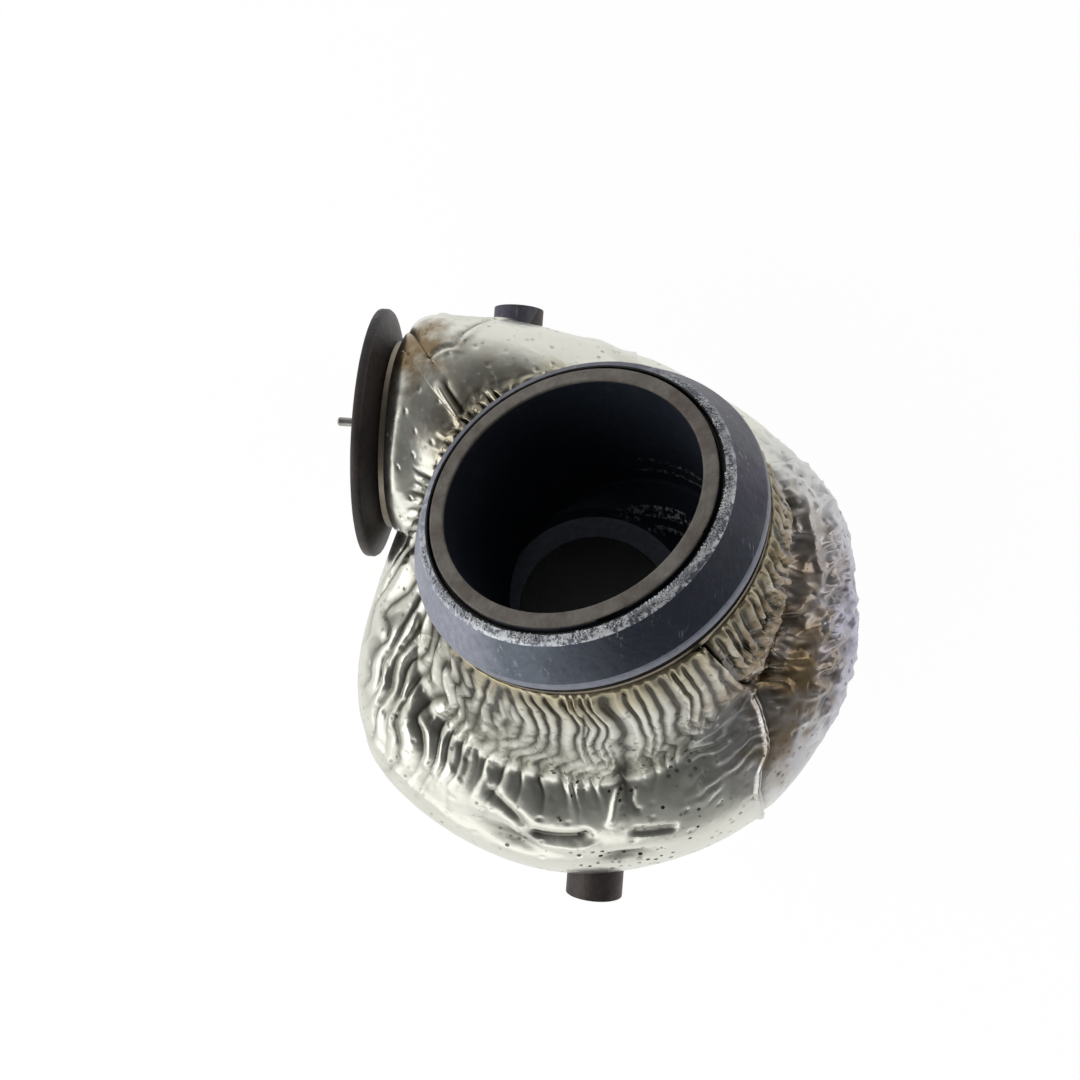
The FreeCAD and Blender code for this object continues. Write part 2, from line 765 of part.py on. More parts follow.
def mats():
    """Form the ceramic fibre mats between the foil and the casting, two in front and two behind."""
    lower, upper = boss_clearance()
    neck = Part.makeCylinder(size("outlet_neck_radius") + size("mat_clearance"), 90.0, OUTLET_FACE, OUTLET_AXIS * -1)
    duct = Part.makeCylinder(size("duct_radius") + size("mat_clearance"), 70.0, INLET_FACE, Vector(1, 0, 0))
    panels = [
        ("front_mat", 187.5, 382.5, 28, 0.12, 0.96, (lower, neck)),
        ("duct_mat", 24.0, 127.5, 16, 0.12, 0.96, (upper, neck)),
        ("neck_mat", 129.0, 186.0, 10, 0.12, 0.84, (neck, duct)),
        ("rear_left_mat", 98.0, 272.0, 24, 1.16, 1.90, (upper, lower, duct)),
        ("rear_right_mat", -86.0, 96.5, 24, 1.04, 1.90, (lower,)),
    ]
    made = []
    for label, first, last, steps, near, far, holes in panels:
        counts = [steps] * 7
        near_depth = size("mat_gap")
        start, end = (lambda heading: near), (lambda heading: far)
        outer = rows_of(first, last, start, end, counts, near_depth, False)
        inner = rows_of(first, last, start, end, counts, near_depth + size("mat_thickness"), False)
        shape = folded_solid(outer, inner)
        for hole in holes:
            shape = shape.cut(hole)
        made.append(sheet_part(label, shape))
    return made


def main():
    """Build every piece, check it and write its file."""
    pieces = [housing(), dowel()] + hems() + foils() + mats()
    document.recompute()
    for thing in document.Objects:
        if "Invalid" in thing.State or "Error" in thing.State:
            raise ValueError(f"{thing.Label} did not build")
    os.makedirs("parts", exist_ok=True)
    for piece in pieces:
        shape = piece.Shape
        print(piece.Label, shape.isValid(), len(shape.Solids), round(shape.Volume), len(shape.Faces))
        if shape.isNull() or not shape.isValid():
            raise ValueError(f"{piece.Label} is not a sound shape")
    for piece in pieces:
        piece.Shape.exportStep(f"parts/{piece.Label}.step")


main()
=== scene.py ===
"""Turbine housing of a turbocharger in its crinkled foil heat cover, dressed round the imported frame."""

import json
import logging
import math
from dataclasses import dataclass, field
from enum import Enum

import bpy
import numpy as np
from mathutils import Matrix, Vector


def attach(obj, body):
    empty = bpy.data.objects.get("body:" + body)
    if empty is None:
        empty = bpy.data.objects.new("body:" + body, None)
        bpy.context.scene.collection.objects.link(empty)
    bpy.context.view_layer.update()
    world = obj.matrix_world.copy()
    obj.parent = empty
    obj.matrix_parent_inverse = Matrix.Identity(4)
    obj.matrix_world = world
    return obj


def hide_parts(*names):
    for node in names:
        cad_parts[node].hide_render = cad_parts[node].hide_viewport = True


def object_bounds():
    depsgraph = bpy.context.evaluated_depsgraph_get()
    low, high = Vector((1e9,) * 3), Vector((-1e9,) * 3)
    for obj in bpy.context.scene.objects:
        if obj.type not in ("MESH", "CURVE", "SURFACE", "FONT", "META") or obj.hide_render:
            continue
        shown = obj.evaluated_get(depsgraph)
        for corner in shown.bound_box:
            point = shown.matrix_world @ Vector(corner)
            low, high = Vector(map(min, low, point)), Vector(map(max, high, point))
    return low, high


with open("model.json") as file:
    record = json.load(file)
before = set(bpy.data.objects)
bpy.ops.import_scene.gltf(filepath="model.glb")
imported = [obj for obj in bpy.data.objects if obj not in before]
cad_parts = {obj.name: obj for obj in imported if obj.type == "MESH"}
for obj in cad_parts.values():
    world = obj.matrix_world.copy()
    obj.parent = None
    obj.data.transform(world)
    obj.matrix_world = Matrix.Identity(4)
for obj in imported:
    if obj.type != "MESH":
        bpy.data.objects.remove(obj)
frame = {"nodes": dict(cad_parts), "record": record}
CAD_BOX = [[float(value) for value in corner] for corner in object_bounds()]

LOG = logging.getLogger("turbine_housing")
MM = 0.001

Points = np.ndarray
Values = np.ndarray
Faces = list[list[int]]
Place = tuple[float, float, float]
Colour = tuple[float, float, float]
Socket = bpy.types.NodeSocket

# Numbers that turn a cell's place into a direction for the gradient noise
CELL_STEPS = (73856093, 19349663, 83492791)
SEED_STEP = 2654435761
SCRAMBLES = ((13, 1274126177), (11, 668265263))
KEY_MASK = 0x7FFFFFFF
DIRECTIONS = 4096
NOISE_GAIN = 1.7

# Length of a cubic curve's handle for a quarter circle, as a share of its radius
ARC_HANDLE = 0.5523
# The plan's edge is kept every half degree and found by halving a distance
EDGE_STEPS = 720
HALVINGS = 30
# The lining of a foil has one corner for this many of the outer sheet's
LINING_STEP = 3
# How near to the frame's own box a foil starts to give way, and by how much, in millimetres
BOX_MARGIN = 0.6
BOX_GIVE = 0.55
# Gap that skins keep below the top of the frame's own box, in millimetres
TOP_GAP = 0.005
# The rear foils count as this far from the collar, so they take neither its straw tint nor its painted shade,
# in millimetres
REAR_FROM_COLLAR = 80.0


def smooth_step(low: float, high: float, at: Values) -> Values:
    """Rise smoothly from 0 at low to 1 at high.

    Args:
        low: Where the rise starts; it may lie above high.
        high: Where the rise ends.
        at: The values to judge.

    Returns:
        A share between 0 and 1 for each value.
    """
    share = np.clip((np.asarray(at, float) - low) / (high - low), 0.0, 1.0)
    return share * share * (3.0 - 2.0 * share)


def bell(distance: Values, width: float) -> Values:
    """Return 1 where the distance is 0, fading out smoothly over a width."""
    return np.exp(-(distance / width) ** 2)


def noise(points: Points, scale: float, seed: int) -> Values:
    """Return smooth gradient noise.

    Args:
        points: Places in millimetres, one row each.
        scale: Size of one swell in millimetres.
        seed: Number that picks the pattern.

    Returns:
        Values between about -1 and 1.
    """
    places = np.asarray(points, float) / scale
    cells = np.floor(places).astype(np.int64)
    share = places - cells
    fade = share ** 3 * (share * (share * 6.0 - 15.0) + 10.0)
    total = np.zeros(len(places))
    for corner in range(8):
        step = np.array([corner & 1, (corner >> 1) & 1, (corner >> 2) & 1])
        key = (cells + step) @ np.array(CELL_STEPS) + seed * SEED_STEP
        for shift, factor in SCRAMBLES:
            key = (key ^ (key >> shift)) * factor & KEY_MASK
        turn = (key % DIRECTIONS) / DIRECTIONS * math.tau
        rise = ((key >> 12) % DIRECTIONS) / (DIRECTIONS / 2) - 1.0
        flat = np.sqrt(1.0 - rise * rise)
        offset = share - step
        slope = offset[:, 0] * flat * np.cos(turn) + offset[:, 1] * flat * np.sin(turn) + offset[:, 2] * rise
        weight = np.prod(np.where(step, fade, 1.0 - fade), axis=1)
        total += weight * slope
    return total * NOISE_GAIN


@dataclass(frozen=True)
class Layer:
    """One layer of noise: its size in millimetres, the seed of its pattern and its strength."""

    size: float
    seed: int
    strength: float = 1.0

    def at(self, points: Points) -> Values:
        """Return the layer's values at points."""
        return self.strength * noise(points, self.size, self.seed)


def layered(points: Points, layers: tuple[Layer, ...]) -> Values:
    """Return the sum of layers of noise at points."""
    return sum(layer.at(points) for layer in layers)


def quads(*corners: Points) -> Faces:
    """Return four-cornered faces from four equal arrays of corner numbers, taken in turn."""
    return np.stack(corners, axis=-1).reshape(-1, 4).tolist()


def ring_quads(rows: int, segments: int, inward: bool = False) -> Faces:
    """Return the faces between rows of corners that run round a ring, seen from outside or from inside.

    Args:
        rows: How many rows of corners there are.
        segments: How many corners a row has.
        inward: Whether the faces point the other way.

    Returns:
        One list of corner numbers for each face.
    """
    index = np.arange(rows * segments).reshape(rows, segments)
    after = np.roll(index, -1, axis=1)
    if inward:
        return quads(index[:-1], index[1:], after[1:], after[:-1])
    return quads(index[:-1], after[:-1], after[1:], index[1:])


def add_mesh(name: str, corners: Points, faces: Faces, smooth: bool = True) -> bpy.types.Object:
    """Make a mesh object from points in millimetres.

    Args:
        name: Name of the object and its mesh.
        corners: One row of three millimetre values for each corner.
        faces: One list of corner numbers for each face.
        smooth: Whether the faces are shaded smooth.

    Returns:
        The new object, linked to the scene.
    """
    mesh = bpy.data.meshes.new(name)
    mesh.from_pydata((corners * MM).tolist(), [], faces)
    mesh.update()
    mesh.polygons.foreach_set("use_smooth", np.full(len(mesh.polygons), smooth))
    piece = bpy.data.objects.new(name, mesh)
    bpy.context.scene.collection.objects.link(piece)
    return piece


def add_attribute(piece: bpy.types.Object, name: str, values: Values) -> None:
    """Keep one number for each corner of a mesh under a name."""
    layer = piece.data.attributes.new(name, "FLOAT", "POINT")
    layer.data.foreach_set("value", np.asarray(values, np.float32))


# Foil cover as a surface


@dataclass
class CoverSurface:
    """The smooth cover: heading runs round the outlet neck, and reach from hem to hem.

    Reach is 0 at the outlet hem, 1 at the scroll's mid height and 2 at the bearing side hem.
    Lengths are millimetres and headings degrees.
    """

    scroll_plan: tuple[float, ...] = (95.5, 94.5, 91.3, 96.3, 95.0, 81.0, 82.2, 96.0, 97.4, 96.4, 96.2, 95.8)
    scroll_height: float = 52.5
    inlet_y: float = 60.0
    neck_x: float = -77.3
    neck_radius: float = 35.9
    duct_half_width: float = 44.8
    duct_narrowing: float = 4.2
    duct_corner: float = 26.0
    hem_depth: float = 20.8
    hem_radius: float = 55.76
    base_hem_radius: float = 51.26
    base_hem_height: float = 11.2
    section_start: float = 41.5
    section_loss: float = 9.0
    section_drop: float = 2.0
    cone_radius: float = 51.5
    cone_depth: float = 7.0
    neck_flare: tuple[float, float] = (5.0, 8.0)
    neck_rounding: float = 1.4
    neck_overlap: float = 1.4
    face: Points = field(init=False)
    axis: Points = field(init=False)
    hem_centre: Points = field(init=False)
    across: Points = field(init=False)
    edges: Points = field(init=False)

    def __post_init__(self) -> None:
        """Take the outlet's place from the frame's record and find the edge in plan."""
        outlet = next(mount for mount in frame["record"]["mounts"] if mount["name"] == "outlet_bore")
        self.face = np.array(outlet["pos_m"]) / MM
        self.axis = np.array(outlet["axis"])
        self.axis /= np.linalg.norm(self.axis)
        self.hem_centre = self.face - self.axis * self.hem_depth
        self.across = self.tilt_rows()
        self.edges = self.plan_edges()

    def flange_place(self, heading: float) -> Place:
        """Return the place in metres on the outlet flange's cone at a heading in degrees.

        Args:
            heading: Direction round the outlet's axis, in degrees.

        Returns:
            The place.
        """
        way = math.radians(heading)
        ring = self.across @ np.array([math.cos(way), math.sin(way), 0.0])
        place = self.face - self.axis * self.cone_depth + ring * self.cone_radius
        return tuple(float(value) * MM for value in place)

    def tilt_rows(self) -> Points:
        """Return the rotation that leans the upright axis onto the outlet's axis."""
        lean = math.acos(self.axis[2])
        hinge = np.cross([0.0, 0.0, 1.0], self.axis)
        hinge /= np.linalg.norm(hinge)
        return np.array(Matrix.Rotation(lean, 3, hinge.tolist()))

    def scroll_radius(self, azimuth: Values) -> Values:
        """Return the plan radius round the scroll at azimuths in degrees.

        Args:
            azimuth: Directions round the turbine axis, in degrees.

        Returns:
            A radius in millimetres for each azimuth.
        """
        plan = np.array(self.scroll_plan)
        place = (azimuth % 360.0) / 30.0
        first = np.floor(place).astype(int)
        share = place - first
        before, near, far, after = (plan[(first + step) % 12] for step in (-1, 0, 1, 2))
        bend = (2 * before - 5 * near + 4 * far - after) * share ** 2
        twist = (3 * near - before - 3 * far + after) * share ** 3
        return near + 0.5 * ((far - before) * share + bend + twist)

    def inside_plan(self, x: Values, y: Values) -> Values:
        """Tell which places lie inside the cover's plan.

        Args:
            x: Places along x, in millimetres.
            y: Places along y, in millimetres.

        Returns:
            Whether each place is inside.
        """
        in_scroll = np.hypot(x, y) < self.scroll_radius(np.degrees(np.arctan2(y, x)))
        half_width = self.duct_half_width - self.duct_narrowing * smooth_step(-50.0, -10.0, x)
        half_width -= 4.0 * smooth_step(-8.0, 6.0, x)
        end_share = np.clip((self.neck_x + self.duct_corner - x) / self.duct_corner, 0.0, 1.0)
        near_duct = np.abs(y - self.inlet_y) < half_width * (1.0 - end_share ** 6) ** (1.0 / 6.0)
        return in_scroll | (near_duct & (x <= 8.0) & (x >= self.neck_x))

    def plan_place(self, way: Values, distance: Values) -> tuple[Values, Values]:
        """Return places in plan at directions and distances from the outlet hem's middle."""
        return self.hem_centre[0] + distance * np.cos(way), self.hem_centre[1] + distance * np.sin(way)

    def plan_edges(self) -> Points:
        """Return the plan's edge every half degree round the outlet hem's middle."""
        way = np.radians(np.arange(EDGE_STEPS) / 2.0)
        near, far = np.full(EDGE_STEPS, 10.0), np.full(EDGE_STEPS, 190.0)
        for _ in range(HALVINGS):
            middle = (near + far) / 2.0
            inside = self.inside_plan(*self.plan_place(way, middle))
            near, far = np.where(inside, middle, near), np.where(inside, far, middle)
        return np.column_stack([*self.plan_place(way, near), np.full(EDGE_STEPS, self.scroll_height)])

    def section_radius(self, azimuth: Values) -> Values:
        """Return the radius of the cover's section at azimuths in degrees.

        Args:
            azimuth: Directions round the turbine axis, in degrees.

        Returns:
            A radius in millimetres for each azimuth.
        """
        share = ((100.0 - azimuth) % 360.0) / 360.0
        scroll = self.section_start - self.section_loss * share
        scroll -= self.section_drop * smooth_step(0.60, 0.74, share)
        return scroll + (self.section_start - scroll) * smooth_step(0.765, 0.825, share)

    def points(self, heading: Values, reach: Values) -> Points:
        """Return the smooth cover's points.

        Args:
            heading: Headings in degrees.
            reach: Reaches from 0 to 2, as many as there are headings.

        Returns:
            One row of three millimetre values for each pair.
        """
        place = (heading % 360.0) * 2.0
        first = np.floor(place).astype(int)
        share = (place - first)[:, None]
        edge = self.edges[first % EDGE_STEPS] * (1 - share) + self.edges[(first + 1) % EDGE_STEPS] * share
        azimuth = np.degrees(np.arctan2(edge[:, 1], edge[:, 0]))
        section = self.section_radius(azimuth)
        side = np.where(reach <= 1.0, 1.0, -1.0)
        across = (edge[:, 1] - self.inlet_y) / self.neck_radius
        at_neck = (edge[:, 0] <= self.neck_x + self.neck_overlap) & (np.abs(across) < 1.0)
        lift = np.where(at_neck, np.sqrt(np.clip(1.0 - across ** 2, 0.0, 1.0)), 0.0)
        end = edge.copy()
        end[:, 2] += side * lift * self.neck_radius
        sideways, raised = edge[:, 1] - self.inlet_y, end[:, 2] - self.scroll_height
        radial = np.column_stack([np.zeros(len(edge)), sideways, raised])
        length = np.linalg.norm(radial, axis=1)
        radial /= np.where(length > 0.1, length, 1.0)[:, None]
        rounded = lift * self.neck_rounding
        inward, outward = self.neck_flare
        flare = (np.array([inward, 0.0, 0.0]) + radial * outward) * np.minimum(1.0, rounded)[:, None]
        upright = np.zeros_like(flare)
        upright[:, 2] = side * ARC_HANDLE * section * np.maximum(0.0, 1.0 - rounded)
        front = self.front_points(heading, np.minimum(reach, 1.0), end, flare + upright, section)
        rear = self.rear_points(azimuth, np.maximum(reach - 1.0, 0.0), end, flare + upright, section)
        return np.where((reach <= 1.0)[:, None], front, rear)

    @staticmethod
    def bezier(rows: tuple[Points, Points, Points, Points], share: Values) -> Points:
        """Return points along cubic curves, each at its own share of the way.

        Args:
            rows: The four corners of each curve.
            share: Shares of the way, from 0 to 1.

        Returns:
            One point for each curve.
        """
        share = share[:, None]
        rest = 1.0 - share
        inner = 3 * rest * rest * share * rows[1] + 3 * rest * share * share * rows[2]
        return rest ** 3 * rows[0] + inner + share ** 3 * rows[3]

    def front_points(self, heading: Values, reach: Values, end: Points, handle: Points,
                     section: Values) -> Points:
        """Return points between the outlet hem and the scroll's mid height.

        Args:
            heading: Headings in degrees.
            reach: Reaches from 0 to 1.
            end: The cover's edge at the scroll's mid height.
            handle: How the curves leave that edge.
            section: Radius of the cover's section at each point.

        Returns:
            One row of three millimetre values for each point.
        """
        way = np.radians(heading)
        ring = np.column_stack([np.cos(way), np.sin(way), np.zeros(len(way))])
        hem = self.hem_centre + ring @ self.across.T * self.hem_radius
        outward = end - hem
        outward[:, 2] = 0.0
        gap = np.linalg.norm(outward, axis=1)
        outward /= gap[:, None]
        width = np.minimum(section, 0.72 * gap)
        flat = smooth_step(12.0, 40.0, gap)
        crown = end - outward * width[:, None]
        crown[:, 2] = self.scroll_height + section - (1 - flat) * 12.0
        way_out = outward * flat[:, None]
        way_out[:, 2] -= (1 - flat) * 0.9
        way_out /= np.linalg.norm(way_out, axis=1)[:, None]
        drop = np.maximum(0.0, hem[:, 2] - crown[:, 2])
        leave = self.axis * (-0.5 * drop / self.axis[2])[:, None] + outward * (0.25 * (gap - width))[:, None]
        arrive = way_out * (0.30 * np.maximum(gap - width, 6.0))[:, None]
        upper = self.bezier((hem, hem + leave, crown - arrive, crown), np.clip(reach * 2.0, 0.0, 1.0))
        bend = way_out * (ARC_HANDLE * width)[:, None]
        lower = self.bezier((crown, crown + bend, end + handle, end), np.clip(reach * 2.0 - 1.0, 0.0, 1.0))
        return np.where((reach < 0.5)[:, None], upper, lower)

    def rear_points(self, azimuth: Values, share: Values, end: Points, handle: Points,
                    section: Values) -> Points:
        """Return points between the scroll's mid height and the bearing side hem.

        Args:
            azimuth: Directions round the turbine axis, in degrees.
            share: Shares of the way to the bearing side hem, from 0 to 1.
            end: The cover's edge at the scroll's mid height.
            handle: How the curves leave that edge.
            section: Radius of the cover's section at each point.

        Returns:
            One row of three millimetre values for each point.
        """
        way = np.radians(azimuth)
        turn = np.column_stack([np.cos(way), np.sin(way), np.zeros(len(way))])
        hem = turn * self.base_hem_radius
        hem[:, 2] = self.base_hem_height
        gap = np.hypot(end[:, 0] - hem[:, 0], end[:, 1] - hem[:, 1])
        inner = hem + turn * (0.72 * gap)[:, None]
        inner[:, 2] = self.scroll_height - section - 1.5
        return self.bezier((end, end + handle * 1.25, inner, hem), share)

    def normals(self, heading: Values, reach: Values) -> Points:
        """Return the cover's outward directions at headings and reaches.

        Args:
            heading: Headings in degrees.
            reach: Reaches from 0 to 2.

        Returns:
            One direction of length 1 for each pair.
        """
        round_it = self.points(heading + 0.5, reach) - self.points(heading - 0.5, reach)
        low = np.clip(reach - 0.01, 0.0, 1.99)
        crosses = (low < 1.0) & (low + 0.02 > 1.0)
        low = np.where(crosses, np.where(reach <= 1.0, 0.98, 1.0001), low)
        down = self.points(heading, low + 0.0199) - self.points(heading, low)
        out = np.cross(down, round_it)
        return out / np.linalg.norm(out, axis=1)[:, None]


class Crease(Enum):
    """Ways in which a crease changes the foil."""

    RIDGE = "ridge"
    GROOVE = "groove"
    FLAT_DENT = "flat dent"


@dataclass(frozen=True)
class Mark:
    """One crease or dent in the foil: its path of (heading, reach) pairs, width and height in millimetres."""

    kind: Crease
    path: tuple[tuple[float, float], ...]
    width: float
    height: float


MARKS: tuple[Mark, ...] = (
    # Ridge from the neck's knot to the collar, and the lines beside it
    Mark(Crease.RIDGE, ((140.2, 0.62), (141.0, 0.56), (142.0, 0.48), (143.6, 0.38)), 1.3, 1.3),
    Mark(Crease.GROOVE, ((138.6, 0.60), (139.6, 0.52), (140.6, 0.40)), 1.5, 0.8),
    Mark(Crease.RIDGE, ((150.0, 0.55), (148.0, 0.44), (146.5, 0.33)), 1.1, 0.7),
    # Overlap that runs from the knot over the inlet duct
    Mark(Crease.GROOVE, ((140.2, 0.70), (136.0, 0.675), (130.5, 0.65), (124.5, 0.75), (117.8, 0.87)),
         0.7, 0.9),
    Mark(Crease.RIDGE, ((139.6, 0.675), (135.6, 0.65), (130.2, 0.625), (123.6, 0.725), (116.8, 0.85)),
         0.9, 0.5),
    # Crescent pressed low on the front, and what runs off its ends
    Mark(Crease.GROOVE, ((252.8, 0.55), (257.2, 0.575), (261.5, 0.61), (264.0, 0.655)), 2.0, 1.1),
    Mark(Crease.GROOVE, ((263.0, 0.66), (266.0, 0.665), (270.0, 0.655), (273.5, 0.645), (276.2, 0.62)),
         2.2, 1.6),
    Mark(Crease.RIDGE, ((259.0, 0.62), (262.0, 0.68), (267.0, 0.705), (273.0, 0.695), (277.5, 0.655)),
         2.2, 0.9),
    Mark(Crease.RIDGE, ((283.5, 0.46), (281.8, 0.50), (280.6, 0.54), (279.8, 0.58), (278.4, 0.61)), 1.4, 1.0),
    Mark(Crease.GROOVE, ((285.4, 0.49), (284.0, 0.53), (284.4, 0.56), (286.0, 0.57)), 1.2, 0.6),
    Mark(Crease.FLAT_DENT, ((283.8, 0.635), (287.0, 0.645), (290.0, 0.655)), 2.8, 0.9),
    # Thin lines down the neck
    Mark(Crease.GROOVE, ((275.2, 0.02), (273.6, 0.06), (271.8, 0.10), (272.4, 0.16), (274.4, 0.24)),
         0.7, 0.8),
    Mark(Crease.GROOVE, ((278.2, 0.09), (279.6, 0.20), (281.4, 0.32), (282.8, 0.41), (283.4, 0.47)),
         0.8, 0.9),
    # Rib and facets on the right hand shell
    Mark(Crease.RIDGE, ((14.2, 0.65), (5.2, 0.61), (355.5, 0.62), (348.0, 0.66)), 1.8, 1.1),
    Mark(Crease.GROOVE, ((24.0, 0.50), (15.0, 0.55), (5.2, 0.545), (356.0, 0.55)), 1.8, 0.9),
    Mark(Crease.RIDGE, ((344.0, 0.72), (338.0, 0.60), (333.0, 0.52)), 1.4, 0.9),
    Mark(Crease.RIDGE, ((6.0, 0.82), (352.0, 0.78), (341.0, 0.84)), 2.0, 0.8),
    # Long soft swage on the left, parallel to the edge
    Mark(Crease.RIDGE, ((226.0, 0.92), (234.0, 0.86), (243.0, 0.83), (253.0, 0.82)), 3.0, 0.9),
    Mark(Crease.RIDGE, ((224.0, 0.82), (234.0, 0.775), (245.0, 0.76), (256.0, 0.77)), 2.6, 0.7),
)

# Where the right hand seam lies: its heading at each reach
SEAM_REACHES = (0.0, 0.07, 0.25, 0.45, 0.52, 0.57, 0.62, 0.655, 0.71, 0.84, 1.0)
SEAM_HEADINGS = (315.0, 317.2, 319.4, 319.5, 318.0, 315.8, 313.6, 309.8, 307.5, 306.0, 305.4)


@dataclass(frozen=True)
class Hollow:
    """One broad dent: where its middle lies, how wide it is both ways, and its depth in millimetres."""

    heading: float
    reach: float
    heading_width: float
    reach_width: float
    depth: float


@dataclass
class FoilRelief:
    """The height of folds, dimples and creases on the foil, in millimetres outward."""

    surface: CoverSurface
    pleats: int = 92
    pleat_height: float = 2.05
    fold_headings: tuple[float, ...] = (
        0.0, 60.0, 140.0, 165.0, 180.0, 200.0, 225.0, 245.0, 262.0, 285.0, 300.0, 315.0)
    fold_ends: tuple[float, ...] = (0.10, 0.22, 0.46, 0.64, 0.90, 0.97, 0.93, 0.78, 0.64, 0.58, 0.50, 0.20)
    sweep_centre: tuple[float, float] = (16.0, 165.0)
    sweep_pleats: int = 232
    dimple_pitch: float = 8.5
    dimple_depth: float = 0.5
    dimple_width: float = 0.75
    dimple_circle: float = 80.0
    broad_dents: tuple[Hollow, ...] = (
        Hollow(262.0, 0.70, 9.0, 0.055, 3.2),
        Hollow(281.0, 0.745, 5.0, 0.03, 2.2),
    )
    fold_wander: tuple[Layer, ...] = (Layer(21.0, 3, 0.85), Layer(6.0, 4, 0.14))
    swept_wander: tuple[Layer, ...] = (Layer(17.0, 6, 0.9), Layer(5.0, 16, 0.1))
    swept_breaks: Layer = Layer(10.0, 8)
    fold_size: Layer = Layer(20.0, 9, 0.35)
    fan_wander: tuple[Layer, ...] = (Layer(12.0, 11, 0.6), Layer(4.0, 12, 0.2))
    fan_breaks: Layer = Layer(9.0, 13)
    crumple_ridges: Layer = Layer(9.0, 21)
    crumple_facets: Layer = Layer(4.6, 22, 0.6)
    fine_ridges: tuple[Layer, ...] = (Layer(6.5, 23), Layer(3.1, 24, 0.5))

    def wobble(self, heading: Values, reach: Values) -> Values:
        """Return the slow dents and bulges of the hand formed foil.

        Args:
            heading: Headings in degrees.
            reach: Reaches from 0 to 2.

        Returns:
            Heights in millimetres.
        """
        turn = np.radians(heading)
        slow = 0.7 * np.sin(3 * turn + 5 * reach) * np.sin(4.0 * reach + 1.3)
        return slow + 0.4 * np.sin(11 * turn - 7 * reach)

    def hollows(self, heading: Values, reach: Values) -> Values:
        """Return the depth of the two broad dents low on the front.

        Args:
            heading: Headings in degrees.
            reach: Reaches from 0 to 2.

        Returns:
            Depths in millimetres.
        """
        total = np.zeros(len(heading))
        for dent in self.broad_dents:
            off_heading = (heading - dent.heading) / dent.heading_width
            off_reach = (reach - dent.reach) / dent.reach_width
            total += dent.depth * np.exp(-(off_heading ** 2 + off_reach ** 2))
        return total

    @staticmethod
    def fold_profile(phase: Values) -> Values:
        """Return rounded folds with sharp valleys between them, from 0 to 1."""
        ridge = np.abs(2.0 * (phase % 1.0) - 1.0)
        return 1.0 - (1.0 - ridge) ** 2

    def gathers(self, places: Points, heading: Values, reach: Values, run: Values) -> tuple[Values, Values]:
        """Return the gathers that run down from the outlet hem.

        Args:
            places: The smooth cover's points.
            heading: Headings in degrees.
            reach: Reaches from 0 to 2.
            run: Length along the foil from the hem, in millimetres.

        Returns:
            Heights in millimetres, and how far each point lies in a valley, from 0 to 1.
        """
        wander = layered(places, self.fold_wander)
        ends = np.interp(heading, self.fold_headings, self.fold_ends)
        start = smooth_step(0.4, 4.0, run)
        fold = heading * self.pleats / 360.0 + wander * smooth_step(0.0, 10.0, run)
        straight, straight_fade = self.fold_family(fold, ends, reach, 15)
        x, y = self.sweep_centre
        angle = np.degrees(np.arctan2(places[:, 1] - y, places[:, 0] - x)) % 360.0
        swept = angle * self.sweep_pleats / 360.0 + layered(places, self.swept_wander)
        swept_folds, swept_fade = self.fold_family(swept, ends, reach, 18)
        left = smooth_step(172.0, 190.0, heading) * smooth_step(262.0, 240.0, heading)
        broken = 0.45 + 0.55 * smooth_step(-0.40, 0.10, self.swept_breaks.at(places))
        fade = start * (straight_fade * (1.0 - left) + swept_fade * left)
        folds = straight * (1.0 - left) + swept_folds * broken * left
        valley = (1.0 - np.clip(folds, 0.0, 1.0)) ** 1.35 * fade
        size = self.pleat_height * (0.80 + self.fold_size.at(places))
        return (size * folds - 0.7) * fade, valley

    def fold_family(self, fold: Values, ends: Values, reach: Values, seed: int) -> tuple[Values, Values]:
        """Return one family of folds of uneven size, and how far each one has faded in.

        Args:
            fold: Number of the fold at each point, with its share.
            ends: Reaches at which the folds end.
            reach: Reaches from 0 to 2.
            seed: Number that picks the folds' sizes.

        Returns:
            Heights from 0 to about 1, and shares from 0 to 1.
        """
        line = np.column_stack([fold, fold * 0.0, fold * 0.0])
        fold = fold + 0.75 * noise(line, 2.6, seed + 2)
        own_end = ends * (1.0 + 0.22 * noise(line, 1.7, seed))
        number = np.column_stack([np.floor(fold), fold * 0.0, fold * 0.0])
        size = np.clip(0.95 + 0.9 * noise(number, 1.37, seed + 1), 0.45, 1.35)
        return self.fold_profile(fold) * size, smooth_step(own_end, own_end * 0.66, reach)

    def fan(self, places: Points, heading: Values, reach: Values) -> Values:
        """Return the fan of wavy folds that leads to the right hand seam.

        Args:
            places: The smooth cover's points, in millimetres.
            heading: Headings in degrees.
            reach: Reaches from 0 to 2.

        Returns:
            Heights in millimetres.
        """
        share = (places[:, 0] * -0.63 + places[:, 1] * 0.78) / 4.2
        phase = share + layered(places, self.fan_wander)
        inside = smooth_step(293.0, 300.0, heading) * smooth_step(319.0, 314.0, heading)
        inside *= smooth_step(0.30, 0.46, reach) * smooth_step(0.66, 0.58, reach)
        return self.fold_profile(phase) * inside * smooth_step(-0.6, 0.2, self.fan_breaks.at(places))

